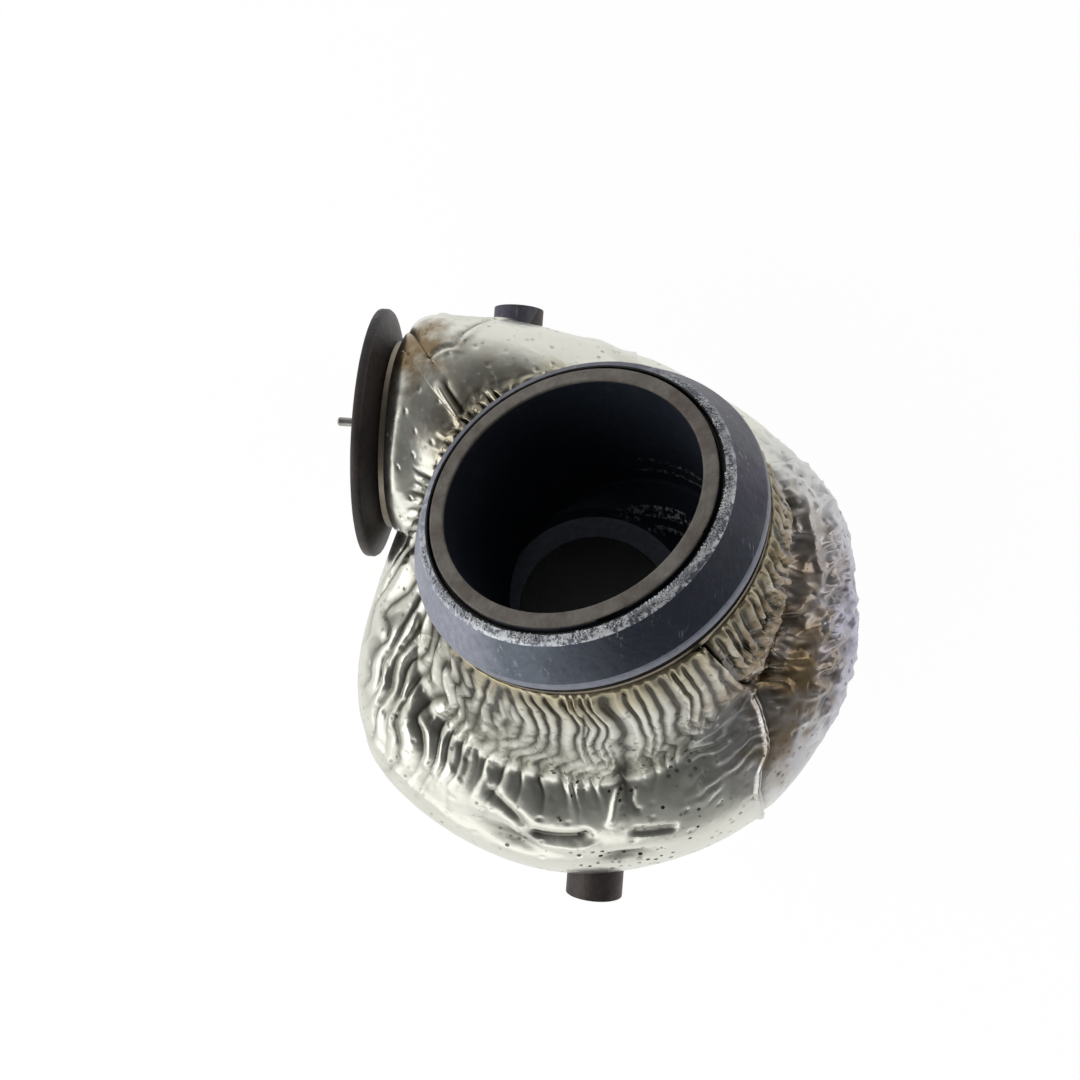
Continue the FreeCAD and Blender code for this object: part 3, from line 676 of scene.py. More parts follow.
    def crumple(self, places: Points, heading: Values, reach: Values) -> tuple[Values, Values]:
        """Return the crumples, sharpest at the collar's right hand side, and the painted shade in their
        valleys.

        Args:
            places: The smooth cover's points, in millimetres.
            heading: Headings in degrees.
            reach: Reaches from 0 to 2.

        Returns:
            Heights in millimetres, and how much painted shade each point takes, from 0 to 1.
        """
        turned = heading % 360.0
        below = turned > 180.0
        right = np.where(below, smooth_step(316.0, 324.0, turned), smooth_step(24.0, 8.0, turned))
        right = right * smooth_step(0.02, 0.10, reach) * smooth_step(0.66, 0.50, reach)
        skew = places @ np.array([[0.62, -0.4, 0.0], [0.62, 1.3, 0.2], [0.1, 0.2, 0.8]])
        rough = 1.0 - 2.2 * np.abs(self.crumple_ridges.at(skew)) + self.crumple_facets.at(skew)
        fine = sum(np.abs(layer.at(places)) for layer in self.fine_ridges)
        top = smooth_step(60.0, 80.0, turned) * smooth_step(176.0, 150.0, turned)
        top = top * smooth_step(0.56, 0.44, reach)
        shell = smooth_step(0.60, 0.72, reach) * np.where(below, smooth_step(316.0, 330.0, turned), 1.0)
        shell = shell * smooth_step(40.0, 20.0, np.where(below, 0.0, turned))
        rear = smooth_step(1.02, 1.15, reach) * smooth_step(2.0, 1.9, reach)
        quiet = 0.12 + 0.9 * np.clip(1.3 * top + 0.7 * shell + 0.8 * rear, 0.0, 1.2)
        right = right + 0.55 * shell * smooth_step(1.0, 0.90, reach)
        # Painted shade in the crumples' low places
        dark = right * smooth_step(0.45, -0.35, rough)
        return 2.0 * rough * right - 0.85 * fine * quiet, np.clip(dark, 0.0, 1.0)

    def dimples(self, places: Points, heading: Values, run: Values) -> Values:
        """Return the depth of the small embossed points, which stand in staggered rows.

        Args:
            places: The smooth cover's points, in millimetres; not used.
            heading: Headings in degrees.
            run: Length along the foil from the hem, in millimetres.

        Returns:
            Depths in millimetres.
        """
        down = run / self.dimple_pitch
        row = np.floor(down)
        along = heading * math.radians(self.dimple_circle) / self.dimple_pitch + 0.5 * (row % 2)
        column = np.floor(along)
        jitter = np.column_stack([column, row, column * 0.0])
        off_x = 0.5 + 0.24 * np.sin(jitter @ np.array([12.9898, 78.233, 0.0]))
        off_y = 0.5 + 0.24 * np.sin(jitter @ np.array([39.3468, 11.135, 0.0]))
        far = np.hypot(along - column - off_x, down - row - off_y) * self.dimple_pitch
        strong = 0.6 + 0.6 * np.sin(jitter @ np.array([4.17, 9.31, 0.0]))
        return self.dimple_depth * np.clip(strong, 0.0, 1.0) * bell(far, self.dimple_width)

    @staticmethod
    def nearest(line: Points, spots: Points) -> tuple[Values, Values]:
        """Return how far spots lie from a line of points, and at which share of its length.

        Args:
            line: The line's points, in order.
            spots: The places to judge.

        Returns:
            Distances in millimetres, and shares from 0 to 1.
        """
        best, share = np.full(len(spots), np.inf), np.zeros(len(spots))
        for index, (start, after) in enumerate(zip(line, line[1:])):
            way = after - start
            along = np.clip((spots - start) @ way / (way @ way), 0.0, 1.0)
            far = np.linalg.norm(spots - start - along[:, None] * way, axis=1)
            closer = far < best
            best = np.where(closer, far, best)
            share = np.where(closer, (index + along) / (len(line) - 1), share)
        return best, share

    def mark_heights(self, places: Points) -> tuple[Values, Values]:
        """Return the height of all creases and dents that stand alone, and how much painted shade they take
        inside.

        Args:
            places: The smooth cover's points, in millimetres.

        Returns:
            Heights in millimetres, and shares of painted shade from 0 to 1.
        """
        total, dark = np.zeros(len(places)), np.zeros(len(places))
        for mark in MARKS:
            heading = np.array([spot[0] for spot in mark.path])
            heading = np.degrees(np.unwrap(np.radians(heading)))
            reach = np.array([spot[1] for spot in mark.path])
            share = np.linspace(0, len(reach) - 1, 6 * len(reach))
            steps = np.arange(len(reach))
            line = self.surface.points(np.interp(share, steps, heading), np.interp(share, steps, reach))
            low, high = line.min(axis=0) - 4 * mark.width, line.max(axis=0) + 4 * mark.width
            near = np.flatnonzero(np.all((places > low) & (places < high), axis=1))
            if len(near) == 0:
                continue
            best, end_share = self.nearest(line, places[near])
            taper = smooth_step(0.0, 0.2, end_share) * smooth_step(1.0, 0.8, end_share)
            if mark.kind is Crease.RIDGE:
                total[near] += mark.height * taper * bell(best, mark.width)
            elif mark.kind is Crease.GROOVE:
                total[near] -= mark.height * taper * np.exp(-(best / mark.width) ** 1.6)
                dark[near] = np.maximum(dark[near], taper * bell(best, mark.width * 0.75))
            else:
                total[near] -= mark.height * smooth_step(mark.width, mark.width * 0.2, best)
                dark[near] = np.maximum(dark[near], smooth_step(mark.width * 0.9, mark.width * 0.3, best))
        return total, dark

    @staticmethod
    def pinned(reach: Values) -> Values:
        """Fade relief out where a hem or a seam holds the foil."""
        at_hems = smooth_step(0.0, 0.12, reach) * smooth_step(2.0, 1.85, reach)
        return at_hems * (1.0 - 0.8 * bell(reach - 1.0, 0.06))

    def heights(self, places: Points, heading: Values, reach: Values, run: Values) -> tuple[Values, Values]:
        """Return the whole relief at points of the smooth cover, and how much painted shade they take in
        valleys, crumples and dents.

        Args:
            places: The smooth cover's points, in millimetres.
            heading: Headings in degrees.
            reach: Reaches from 0 to 2.
            run: Length along the foil from the hem, in millimetres.

        Returns:
            Heights in millimetres, and shares from 0 to 1.
        """
        turned = heading % 360.0
        valley = np.zeros(len(places))
        total = self.pinned(reach) * (self.wobble(heading, reach) - self.hollows(turned, reach))
        if np.any(reach < 0.99):
            folds, valley = self.gathers(places, turned, reach, run)
            total += folds + self.fan(places, turned, reach)
        calm = 1.0 - 0.75 * bell(reach - 1.0, 0.05)
        crumples, dark = self.crumple(places, heading, reach)
        total += calm * (crumples - self.dimples(places, turned, run))
        valley = np.maximum(valley, 0.8 * dark)
        marks, dents = self.mark_heights(places)
        return total + marks, np.maximum(valley, 0.62 * dents)


@dataclass
class FoilPanel:
    """One foil panel: its span of headings and its grid."""

    name: str
    node: str
    columns: int
    rows: int
    rear: bool
    first: float
    last: float
    seam_at_first: bool = False
    seam_at_last: bool = False
    thickness: float = 0.4
    seam_overlap: float = 1.2
    rear_tuck: float = 0.012
    neck_headings: tuple[float, float] = (137.0, 186.5)
    below_neck: float = 1.0005
    lining_shade: float = 1.5

    def seam_reach(self, heading: Values) -> Values:
        """Return where the front foils end, higher up beside the inlet duct's end."""
        return 1.0 - 0.16 * smooth_step(108.0, 122.0, heading) * smooth_step(131.0, 127.0, heading)

    def grid(self) -> tuple[Values, Values]:
        """Return the headings and reaches of the panel's grid, row after row."""
        across = np.linspace(0.0, 1.0, self.columns + 1)
        down = np.linspace(0.0, 1.0, self.rows + 1)
        across, down = np.meshgrid(across, down)
        first, last = np.full_like(down, self.first), np.full_like(down, self.last)
        if self.seam_at_last:
            last = np.interp(down, SEAM_REACHES, SEAM_HEADINGS)
        if self.seam_at_first:
            first = np.interp(down, SEAM_REACHES, SEAM_HEADINGS) - 360.0 - self.seam_overlap
        heading = first + (last - first) * across
        edge = self.seam_reach(heading % 360.0)
        reach = edge + (2.0 - edge) * down if self.rear else edge * down
        if self.rear:
            turned = heading % 360.0
            at_neck = (turned > self.neck_headings[0]) & (turned < self.neck_headings[1])
            edge_row = np.where(at_neck, self.below_neck, reach - self.rear_tuck)
            reach = np.where(down == 0.0, edge_row, reach)
        return heading.ravel(), reach.ravel()

    def lips(self, heading: Values, reach: Values, places: Points) -> Values:
        """Return the raised lip of an upper foil and the tuck of the foil under it.

        Args:
            heading: Headings in degrees.
            reach: Reaches from 0 to 2; not used.
            places: The smooth cover's points, in millimetres.

        Returns:
            Heights in millimetres.
        """
        grid = places.reshape(self.rows + 1, self.columns + 1, 3)
        lift = np.zeros((self.rows + 1, self.columns + 1))
        if self.seam_at_last:
            far = np.linalg.norm(grid - grid[:, -1:, :], axis=2)
            lift += 1.3 * bell(far - 1.2, 1.3) + 0.5 * bell(far, 6.0)
        if self.seam_at_first:
            far = np.linalg.norm(grid - grid[:, :1, :], axis=2)
            lift -= 1.2 * bell(far, 4.0)
        if self.rear:
            far = np.linalg.norm(grid - grid[:1], axis=2)
            lift -= 0.7 * bell(far, 1.6)
        elif self.first < 125.0 < self.last:
            far = np.linalg.norm(grid - grid[-1:], axis=2)
            turned = heading.reshape(lift.shape) % 360.0
            there = smooth_step(106.0, 114.0, turned) * smooth_step(132.0, 129.0, turned)
            lift += 0.7 * bell(far - 0.8, 1.2) * there
        return lift.ravel()

    def build(self, surface: CoverSurface, relief: FoilRelief) -> bpy.types.Object:
        """Build the panel as a thin closed sheet.

        Args:
            surface: The smooth cover.
            relief: What the folds and dents add to it.

        Returns:
            The panel's object.
        """
        heading, reach = self.grid()
        places = surface.points(heading, reach)
        out = surface.normals(heading, reach)
        shape = (self.rows + 1, self.columns + 1)
        steps = np.linalg.norm(np.diff(places.reshape(*shape, 3), axis=0), axis=2)
        run = np.vstack([np.zeros(shape[1]), np.cumsum(steps, axis=0)]).ravel()
        height, valley = relief.heights(places, heading, reach, run)
        height = height + self.lips(heading, reach, places)
        outer = self.within_box(places + out * height[:, None])
        # Painted shade in the gap where this panel tucks under the seam's lip
        if self.seam_at_first:
            rows = places.reshape(*shape, 3)
            far = np.linalg.norm(rows - rows[:, :1, :], axis=2).ravel()
            valley = np.maximum(valley, bell(far - 1.2, 2.0))
        low = self.lowest(height.reshape(shape))
        lining = np.arange(shape[0] * shape[1]).reshape(shape)[::LINING_STEP, ::LINING_STEP]
        kept = lining.ravel()
        inner = places[kept] + out[kept] * (low.ravel() - self.thickness)[:, None]
        piece = add_mesh(self.name, np.vstack([outer, inner]), self.faces(shape, lining.shape))
        from_collar = run + REAR_FROM_COLLAR * self.rear
        add_attribute(piece, "hem_distance", np.append(from_collar, from_collar[kept]))
        # The lining's relief lies lower by lining_shade so that the finish paints it in shade, and valley
        # carries painted shade for folds, crumples, dents and the seam's gap
        add_attribute(piece, "relief", np.append(height, low.ravel() - self.lining_shade))
        add_attribute(piece, "valley", np.append(valley, np.zeros(len(kept))))
        return piece

    @staticmethod
    def within_box(points: Points) -> Points:
        """Press points softly back where they would leave the frame's own box.

        Args:
            points: Points in millimetres.

        Returns:
            The points after the press.
        """
        low, high = np.array(CAD_BOX) / MM
        over = np.maximum(points - (high - BOX_MARGIN), 0.0)
        under = np.maximum((low + BOX_MARGIN) - points, 0.0)
        pressed_down = points - over + BOX_GIVE * np.tanh(over / BOX_GIVE)
        return pressed_down + under - BOX_GIVE * np.tanh(under / BOX_GIVE)

    @staticmethod
    def lowest(height: Values) -> Values:
        """Return the lowest height round each grid point that the lining keeps.

        Args:
            height: Heights of the outer sheet's grid.

        Returns:
            The lowest heights, as a coarser grid.
        """
        padded = np.pad(height, LINING_STEP, mode="edge")
        rows, columns = height.shape
        best = np.full_like(height, np.inf)
        for row in range(2 * LINING_STEP + 1):
            for column in range(2 * LINING_STEP + 1):
                best = np.minimum(best, padded[row:row + rows, column:column + columns])
        return best[::LINING_STEP, ::LINING_STEP]

    @staticmethod
    def faces(fine: tuple[int, int], coarse: tuple[int, int]) -> Faces:
        """Return the faces of the outer grid, the coarser inner grid and the rim that joins them.

        Args:
            fine: Rows and columns of the outer grid.
            coarse: Rows and columns of the inner grid.

        Returns:
            One list of corner numbers for each face.
        """
        outer = np.arange(fine[0] * fine[1]).reshape(fine)
        inner = np.arange(coarse[0] * coarse[1]).reshape(coarse) + fine[0] * fine[1]
        skin = quads(outer[:-1, :-1], outer[1:, :-1], outer[1:, 1:], outer[:-1, 1:])
        back = quads(inner[:-1, :-1], inner[:-1, 1:], inner[1:, 1:], inner[1:, :-1])
        rim = []
        sides = (
            (outer[0], inner[0]),
            (outer[::-1, 0], inner[::-1, 0]),
            (outer[-1][::-1], inner[-1][::-1]),
            (outer[:, -1], inner[:, -1]),
        )
        for edge, lining in sides:
            edge, lining = edge.tolist(), lining.tolist()
            for index, (near, far) in enumerate(zip(lining, lining[1:])):
                a, b, c, d = edge[LINING_STEP * index:LINING_STEP * index + 4]
                rim += [(near, a, b), (near, b, c), (near, c, far), (far, c, d)]
        return skin + back + rim


@dataclass
class FoilCover:
    """The five foil panels of the heat cover."""

    surface: CoverSurface = field(default_factory=CoverSurface)

    def panels(self) -> tuple[FoilPanel, ...]:
        """Return the panels, front ones first."""
        return (
            FoilPanel("front_left_foil_formed", "front_left_foil", 480, 165, False, 142.5, 315.0,
                      seam_at_last=True),
            FoilPanel("front_right_foil_formed", "front_right_foil", 210, 165, False, -45.0, 22.5,
                      seam_at_first=True),
            FoilPanel("top_foil_formed", "top_foil", 336, 150, False, 22.3, 142.7),
            FoilPanel("rear_left_foil_formed", "rear_left_foil", 282, 78, True, 97.5, 273.75),
            FoilPanel("rear_right_foil_formed", "rear_right_foil", 294, 78, True, -86.4, 97.6),
        )

    def build(self, finish: bpy.types.Material) -> list[bpy.types.Object]:
        """Build, dress and place every panel.

        Args:
            finish: The foil's material.

        Returns:
            The panels' objects.
        """
        relief = FoilRelief(self.surface)
        made = []
        for panel in self.panels():
            piece = panel.build(self.surface, relief)
            piece.data.materials.append(finish)
            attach(piece, "root")
            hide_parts(panel.node)
            LOG.info("%s: %d faces", piece.name, len(piece.data.polygons))
            made.append(piece)
        return made


# Turned skins and scale on the flanges


@dataclass
class FlangeSkin:
    """A finely turned skin on a flange, with the scale and dents that the casting's own mesh lacks."""

    name: str
    centre: Points
    down: Points
    outline: tuple[tuple[float, float], ...]
    proud: float = 0.07
    step: float = 0.35
    segments: int = 400
    scale_height: float = 0.0
    scale_radii: tuple[float, float] = (0.0, 0.0)
    finish: bpy.types.Material | None = None
    lump_layers: tuple[Layer, ...] = (Layer(0.9, 31), Layer(2.3, 32, 0.6))
    lump_patches: Layer = Layer(24.0, 33)
    dent_layer: Layer = Layer(5.0, 34, 0.03)
    scale_depth: float = 6.0

    def profile(self) -> Points:
        """Return the outline pushed out by the skin's height, in small steps of radius and depth."""
        corners = np.array(self.outline)
        ways = np.diff(corners, axis=0)
        ways /= np.linalg.norm(ways, axis=1)[:, None]
        sides = np.column_stack([ways[:, 1], -ways[:, 0]])
        at_corner = np.vstack([sides[:1], sides[:-1] + sides[1:], sides[-1:]])
        at_corner /= np.linalg.norm(at_corner, axis=1)[:, None]
        pushed = corners + at_corner * self.proud
        rows = []
        for first, second in zip(pushed, pushed[1:]):
            count = max(2, int(np.linalg.norm(second - first) / self.step))
            share = np.linspace(0.0, 1.0, count + 1)[:-1, None]
            rows.append(first * (1 - share) + second * share)
        return np.vstack(rows + [pushed[-1:]])

    def build(self) -> bpy.types.Object:
        """Turn the profile and press the scale into it.

        Returns:
            The skin's object.
        """
        profile = self.profile()
        first = np.cross(self.down, [0.0, 0.0, 1.0])
        first /= np.linalg.norm(first)
        second = np.cross(self.down, first)
        turn = np.arange(self.segments) * math.tau / self.segments
        ring = np.outer(np.cos(turn), first) + np.outer(np.sin(turn), second)
        radius, depth = profile[:, 0], profile[:, 1]
        points = self.centre + ring[None] * radius[:, None, None] + self.down * depth[:, None, None]
        flat = points.reshape(-1, 3)
        low, high = self.scale_radii
        flaky = smooth_step(low - 0.6, low, radius) * smooth_step(high + 1.6, high, radius)
        flaky = flaky * (depth < self.scale_depth)
        lumps = np.clip(layered(flat, self.lump_layers), 0.0, 1.0)
        along = np.clip(0.45 + self.lump_patches.at(flat), 0.15, 1.0)
        lumps = (lumps * along).reshape(len(profile), self.segments) * flaky[:, None] * self.scale_height
        dents = self.dent_layer.at(flat).reshape(lumps.shape) - self.dent_layer.strength
        out = ring[None] * 0.5 - self.down * 0.86
        points = points + out * (lumps + np.minimum(dents, 0.0))[..., None]
        corners = points.reshape(-1, 3)
        corners[:, 2] = np.minimum(corners[:, 2], CAD_BOX[1][2] / MM - TOP_GAP)
        piece = add_mesh(self.name, corners, ring_quads(len(profile), self.segments))
        piece.data.materials.append(self.finish)
        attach(piece, "root")
        LOG.info("%s: %d faces", piece.name, len(piece.data.polygons))
        return piece


@dataclass
class LipScale:
    """Flakes of scale on the outlet flange's lip, scattered by a Geometry Nodes tree."""

    surface: CoverSurface
    finish: bpy.types.Material
    density: float = 7.0e6
    flake_size: float = 0.00030
    seed: int = 11
    segments: int = 288
    patches: Layer = Layer(7.0, 41, 1.3)
    profile: tuple[tuple[float, float], ...] = (
        (46.1, 0.78), (46.5, 0.74), (47.0, 0.88), (47.6, 1.08), (48.2, 1.45))

    def bed(self) -> bpy.types.Object:
        """Build the ring on which the flakes stand, with their share as an attribute."""
        way = np.arange(self.segments) * math.tau / self.segments
        ring = np.column_stack([np.cos(way), np.sin(way), np.zeros(len(way))]) @ self.surface.across.T
        face, axis = self.surface.face, self.surface.axis
        rows = [face + ring * radius - axis * depth for radius, depth in self.profile]
        corners = np.vstack(rows)
        bed = add_mesh("lip_scale_bed", corners, ring_quads(len(rows), self.segments, inward=True))
        turned = np.degrees(way)
        share = np.where(turned > 120.0, smooth_step(195.0, 235.0, turned), smooth_step(70.0, 30.0, turned))
        share = np.tile(share, len(rows)) * np.clip(0.30 + self.patches.at(corners), 0.04, 1.0)
        add_attribute(bed, "share", share)
        return bed

    @staticmethod
    def tree() -> bpy.types.NodeTree:
        """Build the tree that scatters flakes over the bed."""
        tree, tools, inside, outside = new_group(
            "lip_scale",
            {"Geometry": ("Geometry", None), "Density": ("Float", None), "Flake Size": ("Float", None),
             "Seed": ("Int", None), "Finish": ("Material", None)},
            {"Geometry": "Geometry"},
            "GeometryNodeTree",
        )
        seed = inside.outputs["Seed"]
        share = tools.wire("GeometryNodeInputNamedAttribute", {"Name": "share"}, data_type="FLOAT")
        density = tools.math("MULTIPLY", share.outputs["Attribute"], inside.outputs["Density"])
        scatter = tools.wire("GeometryNodeDistributePointsOnFaces",
                             {"Mesh": inside.outputs["Geometry"], "Density": density, "Seed": seed})
        flake = tools.wire("GeometryNodeMeshIcoSphere", {"Radius": 1.0})
        flat = tools.wire("GeometryNodeTransform",
                          {"Geometry": flake.outputs["Mesh"], "Scale": (1.5, 0.8, 0.45)})
        turn = tools.wire("FunctionNodeRandomValue",
                          {0: (-0.5, -0.5, 0.0), 1: (0.5, 0.5, math.tau), "Seed": seed},
                          data_type="FLOAT_VECTOR")
        spin = tools.wire("FunctionNodeEulerToRotation", {0: turn.outputs[0]})
        turned = tools.wire("FunctionNodeRotateRotation",
                            {0: scatter.outputs["Rotation"], 1: spin.outputs[0]}, rotation_space="LOCAL")
        size = tools.wire("FunctionNodeRandomValue", {2: 0.5, 3: 1.5}, data_type="FLOAT")
        scale = tools.math("MULTIPLY", size.outputs[1], inside.outputs["Flake Size"])
        place = tools.wire("GeometryNodeInstanceOnPoints",
                           {"Points": scatter.outputs["Points"], "Instance": flat.outputs["Geometry"],
                            "Rotation": turned.outputs[0], "Scale": scale})
        real = tools.wire("GeometryNodeRealizeInstances", {"Geometry": place.outputs["Instances"]})
        paint = tools.wire("GeometryNodeSetMaterial",
                           {"Geometry": real.outputs["Geometry"], "Material": inside.outputs["Finish"]})
        tools.feed(outside.inputs["Geometry"], paint.outputs["Geometry"])
        return tree

    def build(self) -> bpy.types.Object:
        """Scatter the flakes and keep them as one plain mesh.

        Returns:
            The flakes' object.
        """
        bed = self.bed()
        modifier = bed.modifiers.new("lip_scale", "NODES")
        modifier.node_group = self.tree()
        values = {"Density": self.density, "Flake Size": self.flake_size, "Seed": self.seed,
                  "Finish": self.finish}
        for item in modifier.node_group.interface.items_tree:
            if item.in_out == "INPUT" and item.name in values:
                modifier[item.identifier] = values[item.name]
        evaluated = bed.evaluated_get(bpy.context.evaluated_depsgraph_get())
        mesh = bpy.data.meshes.new_from_object(evaluated)
        mesh.name = "outlet_lip_scale"
        bpy.data.objects.remove(bed)
        places = np.empty(len(mesh.vertices) * 3, np.float32)
        mesh.vertices.foreach_get("co", places)
        places = places.reshape(-1, 3)
        places[:, 2] = np.minimum(places[:, 2], CAD_BOX[1][2] - TOP_GAP * MM)
        mesh.vertices.foreach_set("co", places.ravel())
        mesh.update()
        piece = bpy.data.objects.new("outlet_lip_scale", mesh)
        bpy.context.scene.collection.objects.link(piece)
        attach(piece, "root")
        LOG.info("%s: %d faces", piece.name, len(mesh.polygons))
        return piece


# Radius and depth along each flange's turned outline, in millimetres
OUTLET_OUTLINE = (
    (39.95, 3.0), (39.95, 0.25), (40.25, 0.0), (44.1, 0.0), (44.3, 0.2), (44.3, 4.15), (45.7, 4.15),
    (45.7, 1.1), (46.1, 0.92), (47.9, 1.42), (48.5, 2.0), (54.9, 12.1), (55.5, 13.2), (55.8, 14.1),
    (55.8, 16.2), (55.4, 16.7), (46.6, 20.0),
)
# Where the inlet flange's face stands along x, in millimetres
INLET_FACE_X = -86.5
INLET_OUTLINE = (
    (29.0, 1.6), (34.5, 1.6), (34.5, 0.2), (34.8, 0.0), (45.6, 0.0), (46.0, 0.4), (46.0, 2.3), (45.6, 2.9),
    (33.5, 6.95), (33.5, 7.1),
)


# Material tools


class Nodes:
    """A short way to add and join nodes of one tree."""

    def __init__(self, tree: bpy.types.NodeTree) -> None:
        """Keep the tree."""
        self.tree = tree

    def add(self, kind: str, **settings: object) -> bpy.types.Node:
        """Add a node and set its properties.

        Args:
            kind: The node's type.
            settings: Properties of the node and their values.

        Returns:
            The node.
        """
        node = self.tree.nodes.new(kind)
        for name, value in settings.items():
            setattr(node, name, value)
        return node

    def feed(self, socket: bpy.types.NodeSocket, value: object) -> None:
        """Set a socket to a value, or link it where the value is a socket.

        Args:
            socket: The socket to feed.
            value: A socket, or a plain value.
        """
        if isinstance(value, bpy.types.NodeSocket):
            self.tree.links.new(value, socket)
        elif value is not None:
            socket.default_value = value

    def wire(self, kind: str, inputs: dict[str | int, object], **settings: object) -> bpy.types.Node:
        """Add a node, set its properties and feed its inputs, which are named or numbered.

        Args:
            kind: The node's type.
            inputs: For each input's name or number, a socket or a plain value.
            settings: Properties of the node and their values.

        Returns:
            The node.
        """
        node = self.add(kind, **settings)
        for key, value in inputs.items():
            self.feed(node.inputs[key], value)
        return node

    def math(self, operation: str, first: object, second: object = None, third: object = None,
             clamp: bool = False) -> Socket:
        """Add a math node and return its result."""
        inputs = {0: first, 1: second, 2: third}
        return self.wire("ShaderNodeMath", inputs, operation=operation, use_clamp=clamp).outputs[0]

    def between(self, value: object, limits: tuple[float, float]) -> Socket:
        """Return 1 where a value lies between two limits."""
        return self.both(self.above(value, limits[0]), self.below(value, limits[1]))

    def above(self, value: object, limit: float) -> Socket:
        """Return 1 where a value lies above a limit."""
        return self.math("GREATER_THAN", value, limit)

    def below(self, value: object, limit: float) -> Socket:
        """Return 1 where a value lies below a limit."""
        return self.math("LESS_THAN", value, limit)

    def both(self, *masks: object) -> Socket:
        """Multiply masks and return the result."""
        result = masks[0]
        for mask in masks[1:]:
            result = self.math("MULTIPLY", result, mask)
        return result

    def vector(self, operation: str, first: object, second: object = None, scale: object = None,
               value: bool = False) -> Socket:
        """Add a vector math node and return its vector, or its value.

        Args:
            operation: What the node works out.
            first: First input.
            second: Second input.
            scale: Factor for a scaled vector.
            value: Whether to return the value.

        Returns:
            The node's result.
        """
        inputs = {0: first, 1: second}
        if scale is not None:
            inputs["Scale"] = scale
        node = self.wire("ShaderNodeVectorMath", inputs, operation=operation)
        return node.outputs["Value" if value else "Vector"]

    def noise(self, place: object, scale: object, detail: float = 3.0, rough: float = 0.55,
              distortion: float = 0.0) -> Socket:
        """Add a noise texture and return its factor."""
        inputs = {"Vector": place, "Scale": scale, "Detail": detail, "Roughness": rough}
        return self.wire("ShaderNodeTexNoise", {**inputs, "Distortion": distortion}).outputs[0]

    def ramp(self, value: object, *stops: tuple[float, float]) -> Socket:
        """Add a ramp of gray values and return its colour as a factor.

        Args:
            value: What the ramp reads.
            stops: Places on the ramp and their gray values.

        Returns:
            The gray value.
        """
        node = self.wire("ShaderNodeValToRGB", {0: value})
        elements = node.color_ramp.elements
        while len(elements) < len(stops):
            elements.new(0.5)
        for element, (place, level) in zip(elements, stops):
            element.position = place
            element.color = (level, level, level, 1.0)
        return node.outputs[0]

    def mix(self, factor: object, first: object, second: object) -> Socket:
        """Mix two colours and return the result.

        Args:
            factor: Share of the second colour.
            first: First colour.
            second: Second colour.

        Returns:
            The mixed colour.
        """
        colours = [(*value[:3], 1.0) if isinstance(value, tuple) else value for value in (first, second)]
        inputs = {0: factor, 6: colours[0], 7: colours[1]}
        return self.wire("ShaderNodeMix", inputs, data_type="RGBA").outputs[2]

    def lay(self, colour: object, shade: object, mask: object, strength: object = 1.0) -> Socket:
        """Lay a shade over a colour where a mask shows it, and return the result."""
        return self.mix(self.math("MULTIPLY", mask, strength, clamp=True), colour, shade)

    def group(self, tree: bpy.types.NodeTree, **values: object) -> bpy.types.Node:
        """Add a node group and set or link its inputs."""
        return self.wire("ShaderNodeGroup", values, node_tree=tree)

    def attribute(self, name: str) -> Socket:
        """Return the number that a mesh keeps under a name."""
        return self.add("ShaderNodeAttribute", attribute_name=name).outputs["Fac"]


GroupParts = tuple[bpy.types.NodeTree, Nodes, bpy.types.Node, bpy.types.Node]


def new_group(name: str, inputs: dict[str, tuple[str, object]], outputs: dict[str, str],
              kind: str = "ShaderNodeTree") -> GroupParts:
    """Start a node group with named sockets.

    Args:
        name: Name of the group.
        inputs: For each input, its socket type's last word and its usual value.
        outputs: For each output, its socket type's last word.
        kind: The tree's type.

    Returns:
        The tree, its tools, and its input and output nodes.
    """
    tree = bpy.data.node_groups.new(name, kind)
    for label, (socket_kind, value) in inputs.items():
        socket = tree.interface.new_socket(label, in_out="INPUT", socket_type=f"NodeSocket{socket_kind}")
        if value is not None:
            socket.default_value = value
    for label, socket_kind in outputs.items():
        tree.interface.new_socket(label, in_out="OUTPUT", socket_type=f"NodeSocket{socket_kind}")
    tools = Nodes(tree)
    return tree, tools, tools.add("NodeGroupInput"), tools.add("NodeGroupOutput")


